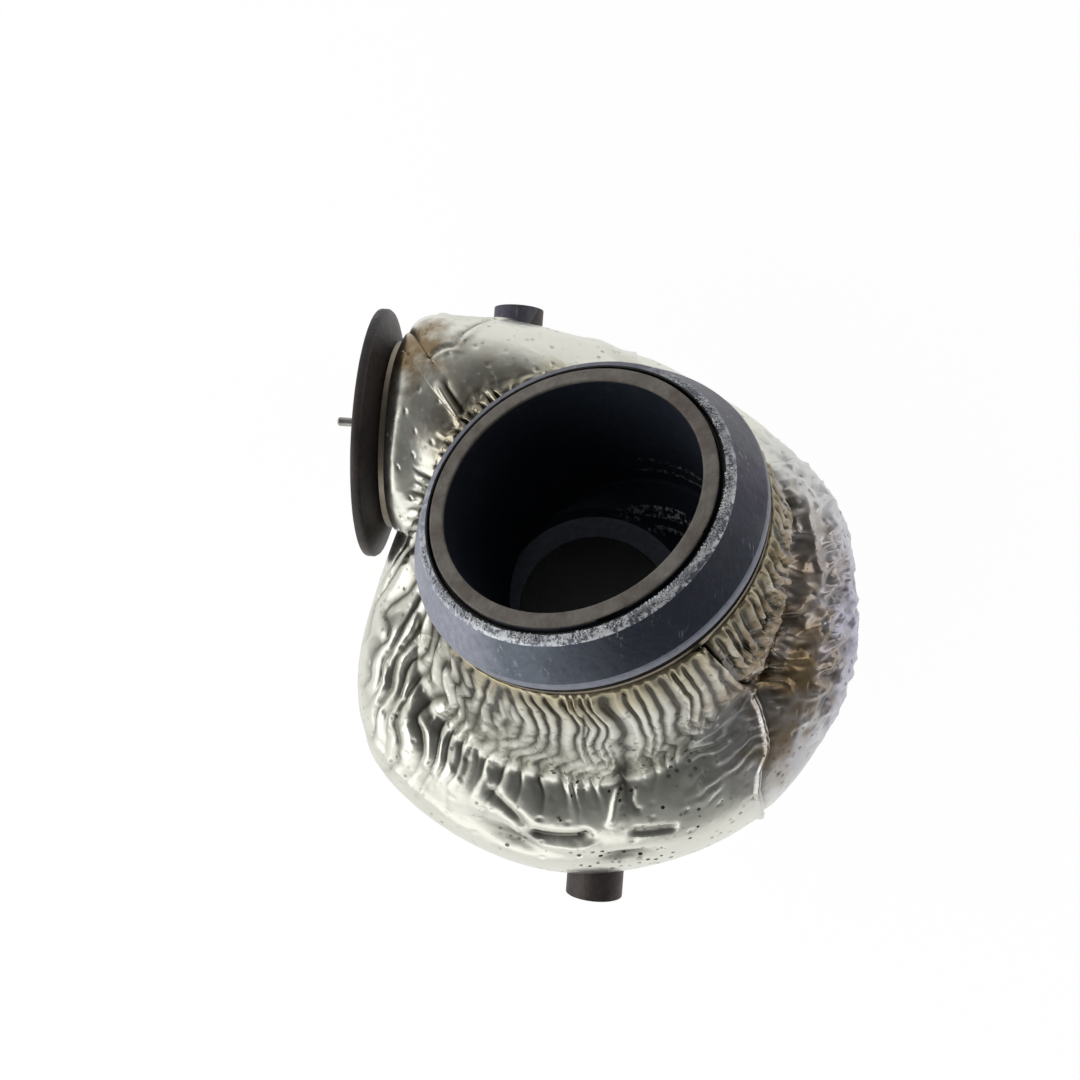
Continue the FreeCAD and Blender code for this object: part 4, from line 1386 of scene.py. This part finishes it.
class Effects:
    """Shader groups that several finishes share."""

    def __init__(self, surface: CoverSurface) -> None:
        """Build each group once.

        Args:
            surface: The smooth cover.
        """
        self.surface = surface
        self.stain = self.build_stain()
        self.grain = self.build_grain()
        self.outlet = self.build_outlet(surface)
        self.pits = self.build_pits()

    @staticmethod
    def build_stain() -> bpy.types.NodeTree:
        """Build a ragged round stain: its mask falls from 1 at the centre to 0 at the radius."""
        tree, tools, inside, outside = new_group(
            "ragged_stain",
            {"Place": ("Vector", None), "Centre": ("Vector", None), "Radius": ("Float", 0.02),
             "Raggedness": ("Float", 0.6), "Grain": ("Float", 120.0)},
            {"Mask": "Float"},
        )
        place = inside.outputs["Place"]
        far = tools.vector("DISTANCE", place, inside.outputs["Centre"], value=True)
        share = tools.math("DIVIDE", far, inside.outputs["Radius"])
        grain = tools.noise(place, inside.outputs["Grain"], 4.0, 0.5)
        ragged = tools.both(tools.math("SUBTRACT", grain, 0.5), inside.outputs["Raggedness"])
        share = tools.math("ADD", share, tools.math("MULTIPLY", ragged, 2.0))
        mask = tools.math("SUBTRACT", 1.0, share, clamp=True)
        tools.feed(outside.inputs["Mask"], tools.math("POWER", mask, 0.7))
        return tree

    @staticmethod
    def build_grain() -> bpy.types.NodeTree:
        """Build fine mottling that varies a colour's brightness."""
        tree, tools, inside, outside = new_group(
            "mottle",
            {"Colour": ("Color", (0.5, 0.5, 0.5, 1.0)), "Place": ("Vector", None), "Scale": ("Float", 300.0),
             "Amount": ("Float", 0.3)},
            {"Colour": "Color", "Value": "Float"},
        )
        value = tools.noise(inside.outputs["Place"], inside.outputs["Scale"], 5.0, 0.65)
        swing = tools.both(tools.math("SUBTRACT", value, 0.5), inside.outputs["Amount"])
        level = tools.math("ADD", tools.math("MULTIPLY", swing, 2.0), 1.0)
        tools.feed(outside.inputs["Colour"], tools.vector("SCALE", inside.outputs["Colour"], scale=level))
        tools.feed(outside.inputs["Value"], value)
        return tree

    @staticmethod
    def build_outlet(surface: CoverSurface) -> bpy.types.NodeTree:
        """Build the outlet's own coordinates: depth below its face and radius from its axis, in metres.

        Args:
            surface: The smooth cover.

        Returns:
            The group's tree.
        """
        tree, tools, inside, outside = new_group(
            "outlet_place", {"Place": ("Vector", None)}, {"Depth": "Float", "Radius": "Float"})
        face = tuple(float(value) * MM for value in surface.face)
        axis = tuple(float(value) for value in surface.axis)
        from_face = tools.vector("SUBTRACT", inside.outputs["Place"], face)
        height = tools.vector("DOT_PRODUCT", from_face, axis, value=True)
        radial = tools.vector("SUBTRACT", from_face, tools.vector("SCALE", axis, scale=height))
        tools.feed(outside.inputs["Depth"], tools.math("MULTIPLY", height, -1.0))
        tools.feed(outside.inputs["Radius"], tools.vector("LENGTH", radial, value=True))
        return tree

    @staticmethod
    def build_pits() -> bpy.types.NodeTree:
        """Build small scattered pits: a mask that is 1 in a pit."""
        tree, tools, inside, outside = new_group(
            "pits", {"Place": ("Vector", None), "Scale": ("Float", 400.0), "Share": ("Float", 0.3)},
            {"Mask": "Float"})
        place = inside.outputs["Place"]
        cells = tools.wire("ShaderNodeTexVoronoi", {"Vector": place, "Scale": inside.outputs["Scale"]})
        mask = tools.math("LESS_THAN", cells.outputs["Distance"], inside.outputs["Share"])
        patch = tools.ramp(tools.noise(place, 90.0), (0.45, 0.0), (0.6, 1.0))
        tools.feed(outside.inputs["Mask"], tools.both(mask, patch))
        return tree


@dataclass(frozen=True)
class Stain:
    """One ragged round stain, with its centre and radius in metres."""

    centre: Place
    radius: float
    strength: float
    raggedness: float = 0.7
    grain: float = 150.0

    def mask(self, tools: Nodes, effects: Effects, place: Socket) -> Socket:
        """Return the stain's mask at places on a piece.

        Args:
            tools: The material's node tools.
            effects: The shader groups that the finishes share.
            place: Places on the piece, in metres.

        Returns:
            The stain's mask, from 0 to 1.
        """
        spot = tools.group(effects.stain, Place=place, Centre=self.centre, Radius=self.radius,
                           Raggedness=self.raggedness, Grain=self.grain)
        return spot.outputs["Mask"]


@dataclass(frozen=True)
class Finish:
    """One plain metal or fibre finish with mottling and fine bump."""

    name: str
    colour: Colour
    second: Colour
    metallic: float
    roughness: float
    grain: float = 260.0
    bump: float = 0.25

    def build(self, effects: Effects) -> bpy.types.Material:
        """Build the finish as a material.

        Args:
            effects: The shader groups that the finishes share.

        Returns:
            The material.
        """
        material, tools, shader = new_material(self.name)
        place = tools.add("ShaderNodeTexCoord").outputs["Object"]
        patch = tools.ramp(tools.noise(place, self.grain * 0.18, 4.0), (0.38, 0.0), (0.62, 1.0))
        colour = tools.mix(patch, self.colour, self.second)
        mottled = tools.group(effects.grain, Colour=colour, Place=place, Scale=self.grain, Amount=0.35)
        tools.feed(shader.inputs["Base Color"], mottled.outputs["Colour"])
        shader.inputs["Metallic"].default_value = self.metallic
        rough = tools.math("MULTIPLY_ADD", mottled.outputs["Value"], 0.3, self.roughness - 0.15)
        tools.feed(shader.inputs["Roughness"], rough)
        add_bump(tools, shader, mottled.outputs["Value"], self.bump, 0.0006)
        return material


def new_material(name: str) -> tuple[bpy.types.Material, Nodes, bpy.types.Node]:
    """Start a material and return it with its tools and its Principled shader.

    Args:
        name: Name of the material.

    Returns:
        The material, its tools and its shader.
    """
    material = bpy.data.materials.new(name)
    material.use_nodes = True
    return material, Nodes(material.node_tree), material.node_tree.nodes["Principled BSDF"]


def add_bump(tools: Nodes, shader: bpy.types.Node, height: object, strength: float, distance: float) -> None:
    """Feed a height to the shader's normal through a bump node."""
    bump = tools.wire("ShaderNodeBump", {"Strength": strength, "Distance": distance, "Height": height})
    tools.feed(shader.inputs["Normal"], bump.outputs["Normal"])


# Brown where the right hand seam got hot, round the collar's right side, and at the knot beside the inlet
BROWN_STAINS = (
    Stain((0.070, -0.012, 0.094), 0.026, 1.2),
    Stain((0.063, -0.036, 0.084), 0.013, 0.9),
    Stain((0.046, 0.004, 0.118), 0.032, 1.1),
    Stain((0.062, 0.020, 0.104), 0.034, 0.95),
    Stain((0.052, -0.004, 0.136), 0.034, 1.1),
    Stain((0.054, 0.032, 0.130), 0.030, 0.9),
    Stain((0.052, 0.050, 0.112), 0.026, 0.6),
    Stain((-0.0690, 0.0850, 0.079), 0.017, 1.6),
    Stain((0.057, -0.045, 0.075), 0.016, 0.8),
    Stain((-0.049, 0.068, 0.090), 0.022, 0.55),
)


@dataclass(frozen=True)
class FoilFinish:
    """The thin stainless foil, silver with straw, brown and violet heat tints, and painted shade under the
    collar, in its valleys and in its deepest hollows.
    """

    silver: Colour = (0.72, 0.72, 0.645)
    straw: Colour = (0.60, 0.50, 0.27)
    brown: Colour = (0.26, 0.19, 0.11)
    violet: Colour = (0.42, 0.41, 0.50)
    soot_and_hollow_shade: Colour = (0.05, 0.045, 0.035)
    umber: Colour = (0.060, 0.052, 0.036)
    right_shell: Stain = Stain((0.108, 0.000, 0.080), 0.088, 1.1, 0.25, 60.0)
    low_front: Stain = Stain((0.012, -0.068, 0.095), 0.062, 1.1, 0.3, 70.0)
    straw_width_mm: float = 17.0
    straw_drift_mm: float = 18.0

    def tints(self, tools: Nodes, effects: Effects, place: Socket, colour: Socket, hem: Socket) -> Socket:
        """Lay the violet, straw and brown heat tints over the silver, and return the colour.

        Args:
            tools: The material's node tools.
            effects: The shader groups that the finishes share.
            place: Places on the piece, in metres.
            colour: The colour so far.
            hem: Distance from the collar, in millimetres.

        Returns:
            The tinted colour.
        """
        colour = tools.lay(colour, self.violet, self.right_shell.mask(tools, effects, place),
                           self.right_shell.strength)
        swing = self.straw_drift_mm
        drift = tools.math("MULTIPLY_ADD", tools.noise(place, 70.0), swing, -swing / 2)
        band = tools.math("DIVIDE", tools.math("ADD", hem, drift), self.straw_width_mm)
        colour = tools.lay(colour, self.straw, tools.math("SUBTRACT", 1.0, band, clamp=True), 0.75)
        for stain in BROWN_STAINS:
            colour = tools.lay(colour, self.brown, stain.mask(tools, effects, place), stain.strength)
        return colour

    def build(self, effects: Effects) -> bpy.types.Material:
        """Build the foil's material.

        Args:
            effects: The shader groups that the finishes share.

        Returns:
            The material.
        """
        material, tools, shader = new_material("heat_tinted_foil")
        place = tools.add("ShaderNodeTexCoord").outputs["Object"]
        mottled = tools.group(effects.grain, Colour=(*self.silver, 1.0), Place=place, Scale=85.0, Amount=0.16)
        hem = tools.attribute("hem_distance")
        colour = self.tints(tools, effects, place, mottled.outputs["Colour"], hem)
        # Soot in small pits, darkest low on the front
        pits = tools.group(effects.pits, Place=place, Scale=300.0, Share=0.24).outputs["Mask"]
        low_front = self.low_front.mask(tools, effects, place)
        soiled = tools.math("MULTIPLY_ADD", low_front, self.low_front.strength, 0.25, clamp=True)
        colour = tools.lay(colour, self.soot_and_hollow_shade, tools.both(pits, soiled))
        # Painted shade under the collar, painted shade in the folds' valleys that is darkest near it, and
        # painted shade in the deepest hollows and on the lining
        colour = tools.mix(tools.math("MULTIPLY_ADD", hem, -0.045, 0.50, clamp=True), colour, self.umber)
        near = tools.math("MAXIMUM", tools.math("MULTIPLY_ADD", hem, -0.030, 2.30), 0.95)
        colour = tools.lay(colour, self.umber, tools.attribute("valley"), near)
        deep = tools.math("MULTIPLY_ADD", tools.attribute("relief"), -0.45, -0.30, clamp=True)
        colour = tools.mix(deep, colour, self.soot_and_hollow_shade)
        tools.feed(shader.inputs["Base Color"], colour)
        shader.inputs["Metallic"].default_value = 1.0
        rough = tools.math("MULTIPLY_ADD", mottled.outputs["Value"], 0.30, 0.17)
        tools.feed(shader.inputs["Roughness"], tools.math("ADD", rough, tools.math("MULTIPLY", pits, 0.3)))
        add_bump(tools, shader, tools.noise(place, 420.0, 3.0, 0.6, 0.4), 0.12, 0.0004)
        return material


@dataclass(frozen=True)
class ScaleAndHighlightRing:
    """A ring of bright scale and painted highlight in the bore: its depth or radius, half its width, and its
    strength.
    """

    level: float
    half_width: float
    strength: float


@dataclass(frozen=True)
class CastFinish:
    """The oxidised cast housing, with the bore, the flanges and the far side in their own shades, and painted
    light and shade on the outlet flange and in the bore.

    Radii and depths are metres from the outlet's axis and below its face.
    """

    scale_gray: Colour = (0.115, 0.120, 0.140)
    navy: Colour = (0.030, 0.036, 0.056)
    blue: Colour = (0.130, 0.155, 0.190)
    purple: Colour = (0.120, 0.105, 0.155)
    lavender: Colour = (0.30, 0.315, 0.38)
    tan: Colour = (0.205, 0.190, 0.168)
    umber: Colour = (0.140, 0.118, 0.100)
    black: Colour = (0.010, 0.010, 0.011)
    bore: Colour = (0.018, 0.025, 0.038)
    brown: Colour = (0.070, 0.055, 0.050)
    dark_brown: Colour = (0.036, 0.031, 0.032)
    crust_and_highlight: Colour = (0.74, 0.76, 0.78)
    spigot_radii: tuple[float, float] = (0.0390, 0.04435)
    groove_radii: tuple[float, float] = (0.04435, 0.0462)
    lip_radii: tuple[float, float] = (0.0462, 0.0489)
    rim_radii: tuple[float, float] = (0.0549, 0.0570)
    rim_depths: tuple[float, float] = (0.0132, 0.0166)
    face_depth: float = 0.0009
    lip_depth: float = 0.0026
    groove_depth: float = 0.006
    flange_depth: float = 0.0300
    collar_radius: float = 0.0462
    bore_radius: float = 0.0402
    inlet_flange_x: float = -0.074
    inlet_face_x: float = -0.0862
    shoulder_radius: float = 0.0345
    shoulder_heights: tuple[float, float] = (0.050, 0.078)
    ring_start: float = 0.040
    depth_rings: tuple[ScaleAndHighlightRing, ...] = (ScaleAndHighlightRing(0.0440, 0.0010, 0.6), ScaleAndHighlightRing(0.0500, 0.0010, 0.6))
    radius_rings: tuple[ScaleAndHighlightRing, ...] = (ScaleAndHighlightRing(0.0325, 0.0013, 1.0), ScaleAndHighlightRing(0.0290, 0.0005, 0.6))

    def cone(self, tools: Nodes, effects: Effects, place: Socket, clouds: Socket) -> Socket:
        """Return the outlet cone's colour: pale painted light at the lower left, blue below, navy painted
        shade at the right.

        Args:
            tools: The material's node tools.
            effects: The shader groups that the finishes share.
            place: Places on the piece, in metres.
            clouds: Soft noise that the casting's colours share.

        Returns:
            The cone's colour.
        """
        colour = tools.mix(tools.ramp(clouds, (0.40, 0.0), (0.60, 1.0)), self.scale_gray, self.purple)
        # Pale painted light on the cone's lower left, blue below, and navy painted shade on its right, over
        # the cone's own gray and purple clouds
        for heading, spread, shade in (
            (205.0, 0.052, self.lavender),
            (262.0, 0.044, self.blue),
            (318.0, 0.046, self.navy),
            (232.0, 0.020, self.lavender),
        ):
            patch = Stain(effects.surface.flange_place(heading), spread, 1.5, 0.35, 70.0)
            colour = tools.lay(colour, shade, patch.mask(tools, effects, place), patch.strength)
        stretched = tools.vector("MULTIPLY", place, (1.0, 0.10, 1.0))
        scratches = tools.ramp(tools.noise(stretched, 620.0, 3.0, 0.7), (0.60, 0.0), (0.70, 1.0))
        worn = tools.ramp(tools.noise(place, 60.0, 3.0), (0.48, 0.0), (0.62, 1.0))
        return tools.lay(colour, self.crust_and_highlight, tools.both(scratches, worn), 0.45)

    def face(self, tools: Nodes, effects: Effects, place: Socket, colour: Socket, depth: Socket,
             radius: Socket) -> Socket:
        """Return the colour with the rim's painted highlight, the crusted lip, the painted shade in the
        groove and the spigot's face laid on.

        Args:
            tools: The material's node tools.
            effects: The shader groups that the finishes share.
            place: Places on the piece, in metres.
            colour: The colour so far.
            depth: Depth below the outlet's face.
            radius: Radius from the outlet's axis.

        Returns:
            The colour with these laid on.
        """
        # Painted highlight on the flange's rounded rim
        rim = tools.both(tools.between(depth, self.rim_depths), tools.between(radius, self.rim_radii))
        colour = tools.lay(colour, self.lavender, rim, 0.75)
        lip = tools.both(tools.between(radius, self.lip_radii), tools.below(depth, self.lip_depth))
        colour = tools.lay(colour, self.lavender, lip, 0.35)
        crusted = Stain(effects.surface.flange_place(298.0), 0.096, 1.6, 0.4, 90.0)
        flaky = tools.ramp(tools.noise(place, 430.0, 5.0, 0.75), (0.47, 0.0), (0.53, 1.0))
        flaky = tools.both(flaky, lip, crusted.mask(tools, effects, place))
        colour = tools.lay(colour, self.crust_and_highlight, flaky, crusted.strength)
        # Painted shade in the groove between the spigot and the lip
        groove = tools.both(tools.between(radius, self.groove_radii), tools.below(depth, self.groove_depth))
        colour = tools.mix(groove, colour, self.black)
        spigot = tools.both(tools.between(radius, self.spigot_radii), tools.below(depth, self.face_depth))
        soiled = tools.ramp(tools.noise(place, 75.0, 5.0, 0.65), (0.42, 0.0), (0.60, 1.0))
        return tools.mix(spigot, colour, tools.mix(soiled, self.tan, self.umber))

    def build(self, effects: Effects) -> bpy.types.Material:
        """Build the casting's material.

        Args:
            effects: The shader groups that the finishes share.

        Returns:
            The material.
        """
        material, tools, shader = new_material("oxidised_cast_iron")
        place = tools.add("ShaderNodeTexCoord").outputs["Object"]
        outlet = tools.group(effects.outlet, Place=place)
        depth, radius = outlet.outputs["Depth"], outlet.outputs["Radius"]
        split = tools.wire("ShaderNodeSeparateXYZ", {0: place})
        x = split.outputs["X"]
        clouds = tools.noise(place, 38.0, 6.0, 0.6)
        colour = self.cone(tools, effects, place, clouds)
        colour = self.face(tools, effects, place, colour, depth, radius)
        # Brown black on all that lies far below the outlet: inlet flange, most of the bosses, bearing side
        past_flange, at_inlet = tools.above(depth, self.flange_depth), tools.below(x, self.inlet_flange_x)
        away = tools.math("MAXIMUM", past_flange, at_inlet)
        body = tools.mix(tools.ramp(clouds, (0.4, 0.0), (0.6, 1.0)), self.brown, self.dark_brown)
        colour = tools.mix(tools.both(away, tools.above(radius, self.collar_radius)), colour, body)
        # Navy black in the bore
        in_bore = tools.both(tools.below(radius, self.bore_radius), tools.above(depth, self.face_depth))
        deep = tools.math("MAXIMUM", in_bore, tools.both(away, tools.below(radius, self.collar_radius)))
        streaks = tools.ramp(tools.noise(place, 160.0, 5.0), (0.55, 0.0), (0.75, 1.0))
        colour = tools.mix(deep, colour, tools.mix(streaks, self.bore, self.navy))
        # Bright scale and painted highlights in rings low on the bore's lit right hand side, and painted
        # light on the shoulder at the wheel's bore
        right_side = tools.ramp(tools.math("MULTIPLY_ADD", x, 18.0, 0.30), (0.35, 0.0), (0.75, 1.0))
        dots = tools.ramp(tools.noise(place, 520.0, 4.0, 0.7), (0.50, 0.0), (0.58, 1.0))
        scale_and_highlight = tools.both(right_side, dots, tools.above(depth, self.ring_start), in_bore)
        for source, rings in ((depth, self.depth_rings), (radius, self.radius_rings)):
            for ring in rings:
                band = tools.between(source, (ring.level - ring.half_width, ring.level + ring.half_width))
                colour = tools.lay(colour, self.crust_and_highlight, tools.both(band, scale_and_highlight), ring.strength)
        from_axis = tools.vector("LENGTH", tools.vector("MULTIPLY", place, (1.0, 1.0, 0.0)), value=True)
        shoulder = tools.below(from_axis, self.shoulder_radius)
        shoulder = tools.both(shoulder, tools.between(split.outputs["Z"], self.shoulder_heights))
        colour = tools.lay(colour, self.lavender, shoulder, 0.9)
        mottled = tools.group(effects.grain, Colour=colour, Place=place, Scale=420.0, Amount=0.45)
        # Light worn face of the inlet flange
        worn_face = tools.below(x, self.inlet_face_x)
        colour = tools.lay(mottled.outputs["Colour"], self.tan, worn_face, 0.35)
        tools.feed(shader.inputs["Base Color"], colour)
        shader.inputs["Metallic"].default_value = 0.35
        rough = tools.math("MULTIPLY_ADD", clouds, 0.35, 0.34)
        tools.feed(shader.inputs["Roughness"], tools.math("ADD", rough, tools.math("MULTIPLY", deep, 0.1)))
        rough_cast = tools.math("ADD", mottled.outputs["Value"], tools.noise(place, 150.0, 4.0))
        add_bump(tools, shader, rough_cast, 0.35, 0.0008)
        return material


# Stage, light and camera


@dataclass(frozen=True)
class Softbox:
    """One soft area lamp: where it stands in metres, its width and height, and its power in watts."""

    name: str
    place: Place
    size: tuple[float, float]
    power: float
    aim: Place = (0.0, 0.02, 0.08)

    def build(self) -> None:
        """Add the lamp, turned to the point that it faces."""
        data = bpy.data.lights.new(self.name, "AREA")
        data.shape = "RECTANGLE"
        data.size, data.size_y = self.size
        data.energy = self.power
        backward = np.array(self.place) - np.array(self.aim)
        backward /= np.linalg.norm(backward)
        right = np.cross([0.0, 0.0, 1.0], backward)
        right /= np.linalg.norm(right)
        turn = Matrix(np.column_stack([right, np.cross(backward, right), backward]).tolist())
        lamp = bpy.data.objects.new(self.name, data)
        lamp.matrix_world = Matrix.Translation(self.place) @ turn.to_4x4()
        bpy.context.scene.collection.objects.link(lamp)


SOFTBOXES = (
    Softbox("left_softbox", (-0.95, -0.30, 0.50), (1.2, 0.8), 4.2),
    Softbox("front_softbox", (-0.20, -1.0, 0.40), (1.0, 0.45), 1.6),
    Softbox("right_softbox", (1.0, 0.25, 0.55), (0.35, 0.8), 1.3),
)
WHITE = (1.0, 1.0, 1.0, 1.0)


@dataclass(frozen=True)
class Studio:
    """Plain pale floor, soft light and the camera at the photograph's angle."""

    right: Place = (0.9965, 0.0745, -0.0367)
    upward: Place = (-0.0746, 0.9972, 0.0)
    backward: Place = (0.0366, 0.0028, 0.9993)
    place: Place = (-0.00742, 0.02581, 0.46348)
    lens: float = 36.67
    sensor_width: float = 36.0
    clip_start: float = 0.01
    floor_size: float = 6.0
    floor_shade: float = 0.93
    floor_roughness: float = 0.9
    floor_glow: float = 1.06
    glow_share: float = 0.90
    covered_radius: float = 0.047
    room_levels: tuple[tuple[float, float], ...] = ((0.0, 0.72), (0.35, 0.62), (0.70, 0.24), (1.0, 0.13))

    def camera(self) -> None:
        """Place the camera as it stood for the photograph."""
        data = bpy.data.cameras.new("camera")
        data.lens = self.lens
        data.sensor_width = self.sensor_width
        data.clip_start = self.clip_start
        camera = bpy.data.objects.new("camera", data)
        columns = zip(self.right, self.upward, self.backward, self.place)
        camera.matrix_world = Matrix([list(row) for row in columns] + [[0.0, 0.0, 0.0, 1.0]])
        bpy.context.scene.collection.objects.link(camera)
        bpy.context.scene.camera = camera

    def world(self) -> None:
        """Light the scene from a pale room whose ceiling is darker than its walls, brighter on the left."""
        world = bpy.data.worlds.new("pale_room")
        world.use_nodes = True
        bpy.context.scene.world = world
        tools = Nodes(world.node_tree)
        background = world.node_tree.nodes["Background"]
        way = tools.add("ShaderNodeTexCoord").outputs["Generated"]
        split = tools.wire("ShaderNodeSeparateXYZ", {0: way})
        level = tools.ramp(split.outputs["Z"], *self.room_levels)
        side = tools.math("MULTIPLY_ADD", split.outputs["X"], -0.42, 0.84)
        side = tools.math("MULTIPLY_ADD", split.outputs["Y"], 0.12, side)
        level = tools.vector("SCALE", level, scale=side)
        sight = tools.add("ShaderNodeLightPath").outputs["Is Camera Ray"]
        tools.feed(background.inputs["Color"], tools.mix(sight, level, WHITE))
        background.inputs["Strength"].default_value = 1.0

    def floor(self) -> None:
        """Lay the pale floor, on which the camera sees a faint shadow."""
        half = self.floor_size / 2.0 / MM
        corners = np.array([[-half, -half, 0.0], [half, -half, 0.0], [half, half, 0.0], [-half, half, 0.0]])
        floor = add_mesh("pale_floor", corners, [[0, 1, 2, 3]], smooth=False)
        material, tools, shader = new_material("pale_floor")
        shader.inputs["Base Color"].default_value = (self.floor_shade,) * 3 + (1.0,)
        shader.inputs["Roughness"].default_value = self.floor_roughness
        glow = tools.wire("ShaderNodeEmission", {"Color": WHITE, "Strength": self.floor_glow})
        paths = tools.add("ShaderNodeLightPath")
        seen = tools.math("MAXIMUM", paths.outputs["Is Camera Ray"], paths.outputs["Is Glossy Ray"])
        place = tools.add("ShaderNodeTexCoord").outputs["Object"]
        open_floor = tools.above(tools.vector("LENGTH", place, value=True), self.covered_radius)
        share = tools.both(seen, self.glow_share, open_floor)
        mixed = tools.wire("ShaderNodeMixShader", {0: share, 1: shader.outputs[0], 2: glow.outputs[0]})
        tools.feed(material.node_tree.nodes["Material Output"].inputs["Surface"], mixed.outputs[0])
        floor.data.materials.append(material)

    def build(self) -> None:
        """Set up the whole stage."""
        self.camera()
        self.world()
        self.floor()
        for softbox in SOFTBOXES:
            softbox.build()
        bpy.context.scene.view_settings.view_transform = "Standard"


def dress_frame(effects: Effects) -> bpy.types.Material:
    """Give every carried over node its finish, and return the casting's.

    Args:
        effects: The shader groups that the finishes share.

    Returns:
        The casting's material.
    """
    cast = CastFinish().build(effects)
    hem = Finish("rolled_hem", (0.30, 0.26, 0.20), (0.16, 0.14, 0.12), 0.8, 0.42).build(effects)
    pin = Finish("ground_pin", (0.42, 0.41, 0.39), (0.25, 0.24, 0.23), 0.9, 0.35).build(effects)
    mat = Finish("ceramic_fibre", (0.80, 0.78, 0.72), (0.70, 0.68, 0.62), 0.0, 0.9, 700.0, 0.6).build(effects)
    finishes = {"turbine_housing": cast, "inlet_dowel_pin": pin}
    for name, node in frame["nodes"].items():
        finish = finishes.get(name, mat if name.endswith("_mat") else hem)
        node.data.materials.clear()
        node.data.materials.append(finish)
        LOG.info("%s wears %s", name, finish.name)
    return cast


def dress_flanges(surface: CoverSurface, effects: Effects, cast: bpy.types.Material) -> None:
    """Build the turned skins of both flanges and the loose scale on the outlet's lip.

    Args:
        surface: The smooth cover.
        effects: The shader groups that the finishes share.
        cast: The casting's material.
    """
    FlangeSkin("outlet_flange_skin", surface.face, -surface.axis, OUTLET_OUTLINE, scale_height=0.35,
               scale_radii=(45.9, 48.4), finish=cast).build()
    scale = Finish("loose_scale", (0.62, 0.64, 0.65), (0.30, 0.31, 0.34), 0.5, 0.35, 900.0, 0.1)
    LipScale(surface, scale.build(effects)).build()
    inlet = next(mount for mount in frame["record"]["mounts"] if mount["name"] == "inlet_bore")
    inlet_face = np.array([INLET_FACE_X, inlet["pos_m"][1] / MM, inlet["pos_m"][2] / MM])
    FlangeSkin("inlet_flange_skin", inlet_face, np.array([1.0, 0.0, 0.0]), INLET_OUTLINE, proud=0.15,
               step=0.8, segments=256, finish=cast).build()


def main() -> None:
    """Build the studio, the foil cover and the finishes."""
    logging.basicConfig(level=logging.INFO, format="%(message)s")
    Studio().build()
    cover = FoilCover()
    effects = Effects(cover.surface)
    cover.build(FoilFinish().build(effects))
    cast = dress_frame(effects)
    dress_flanges(cover.surface, effects, cast)


if __name__ == "__main__":
    main()
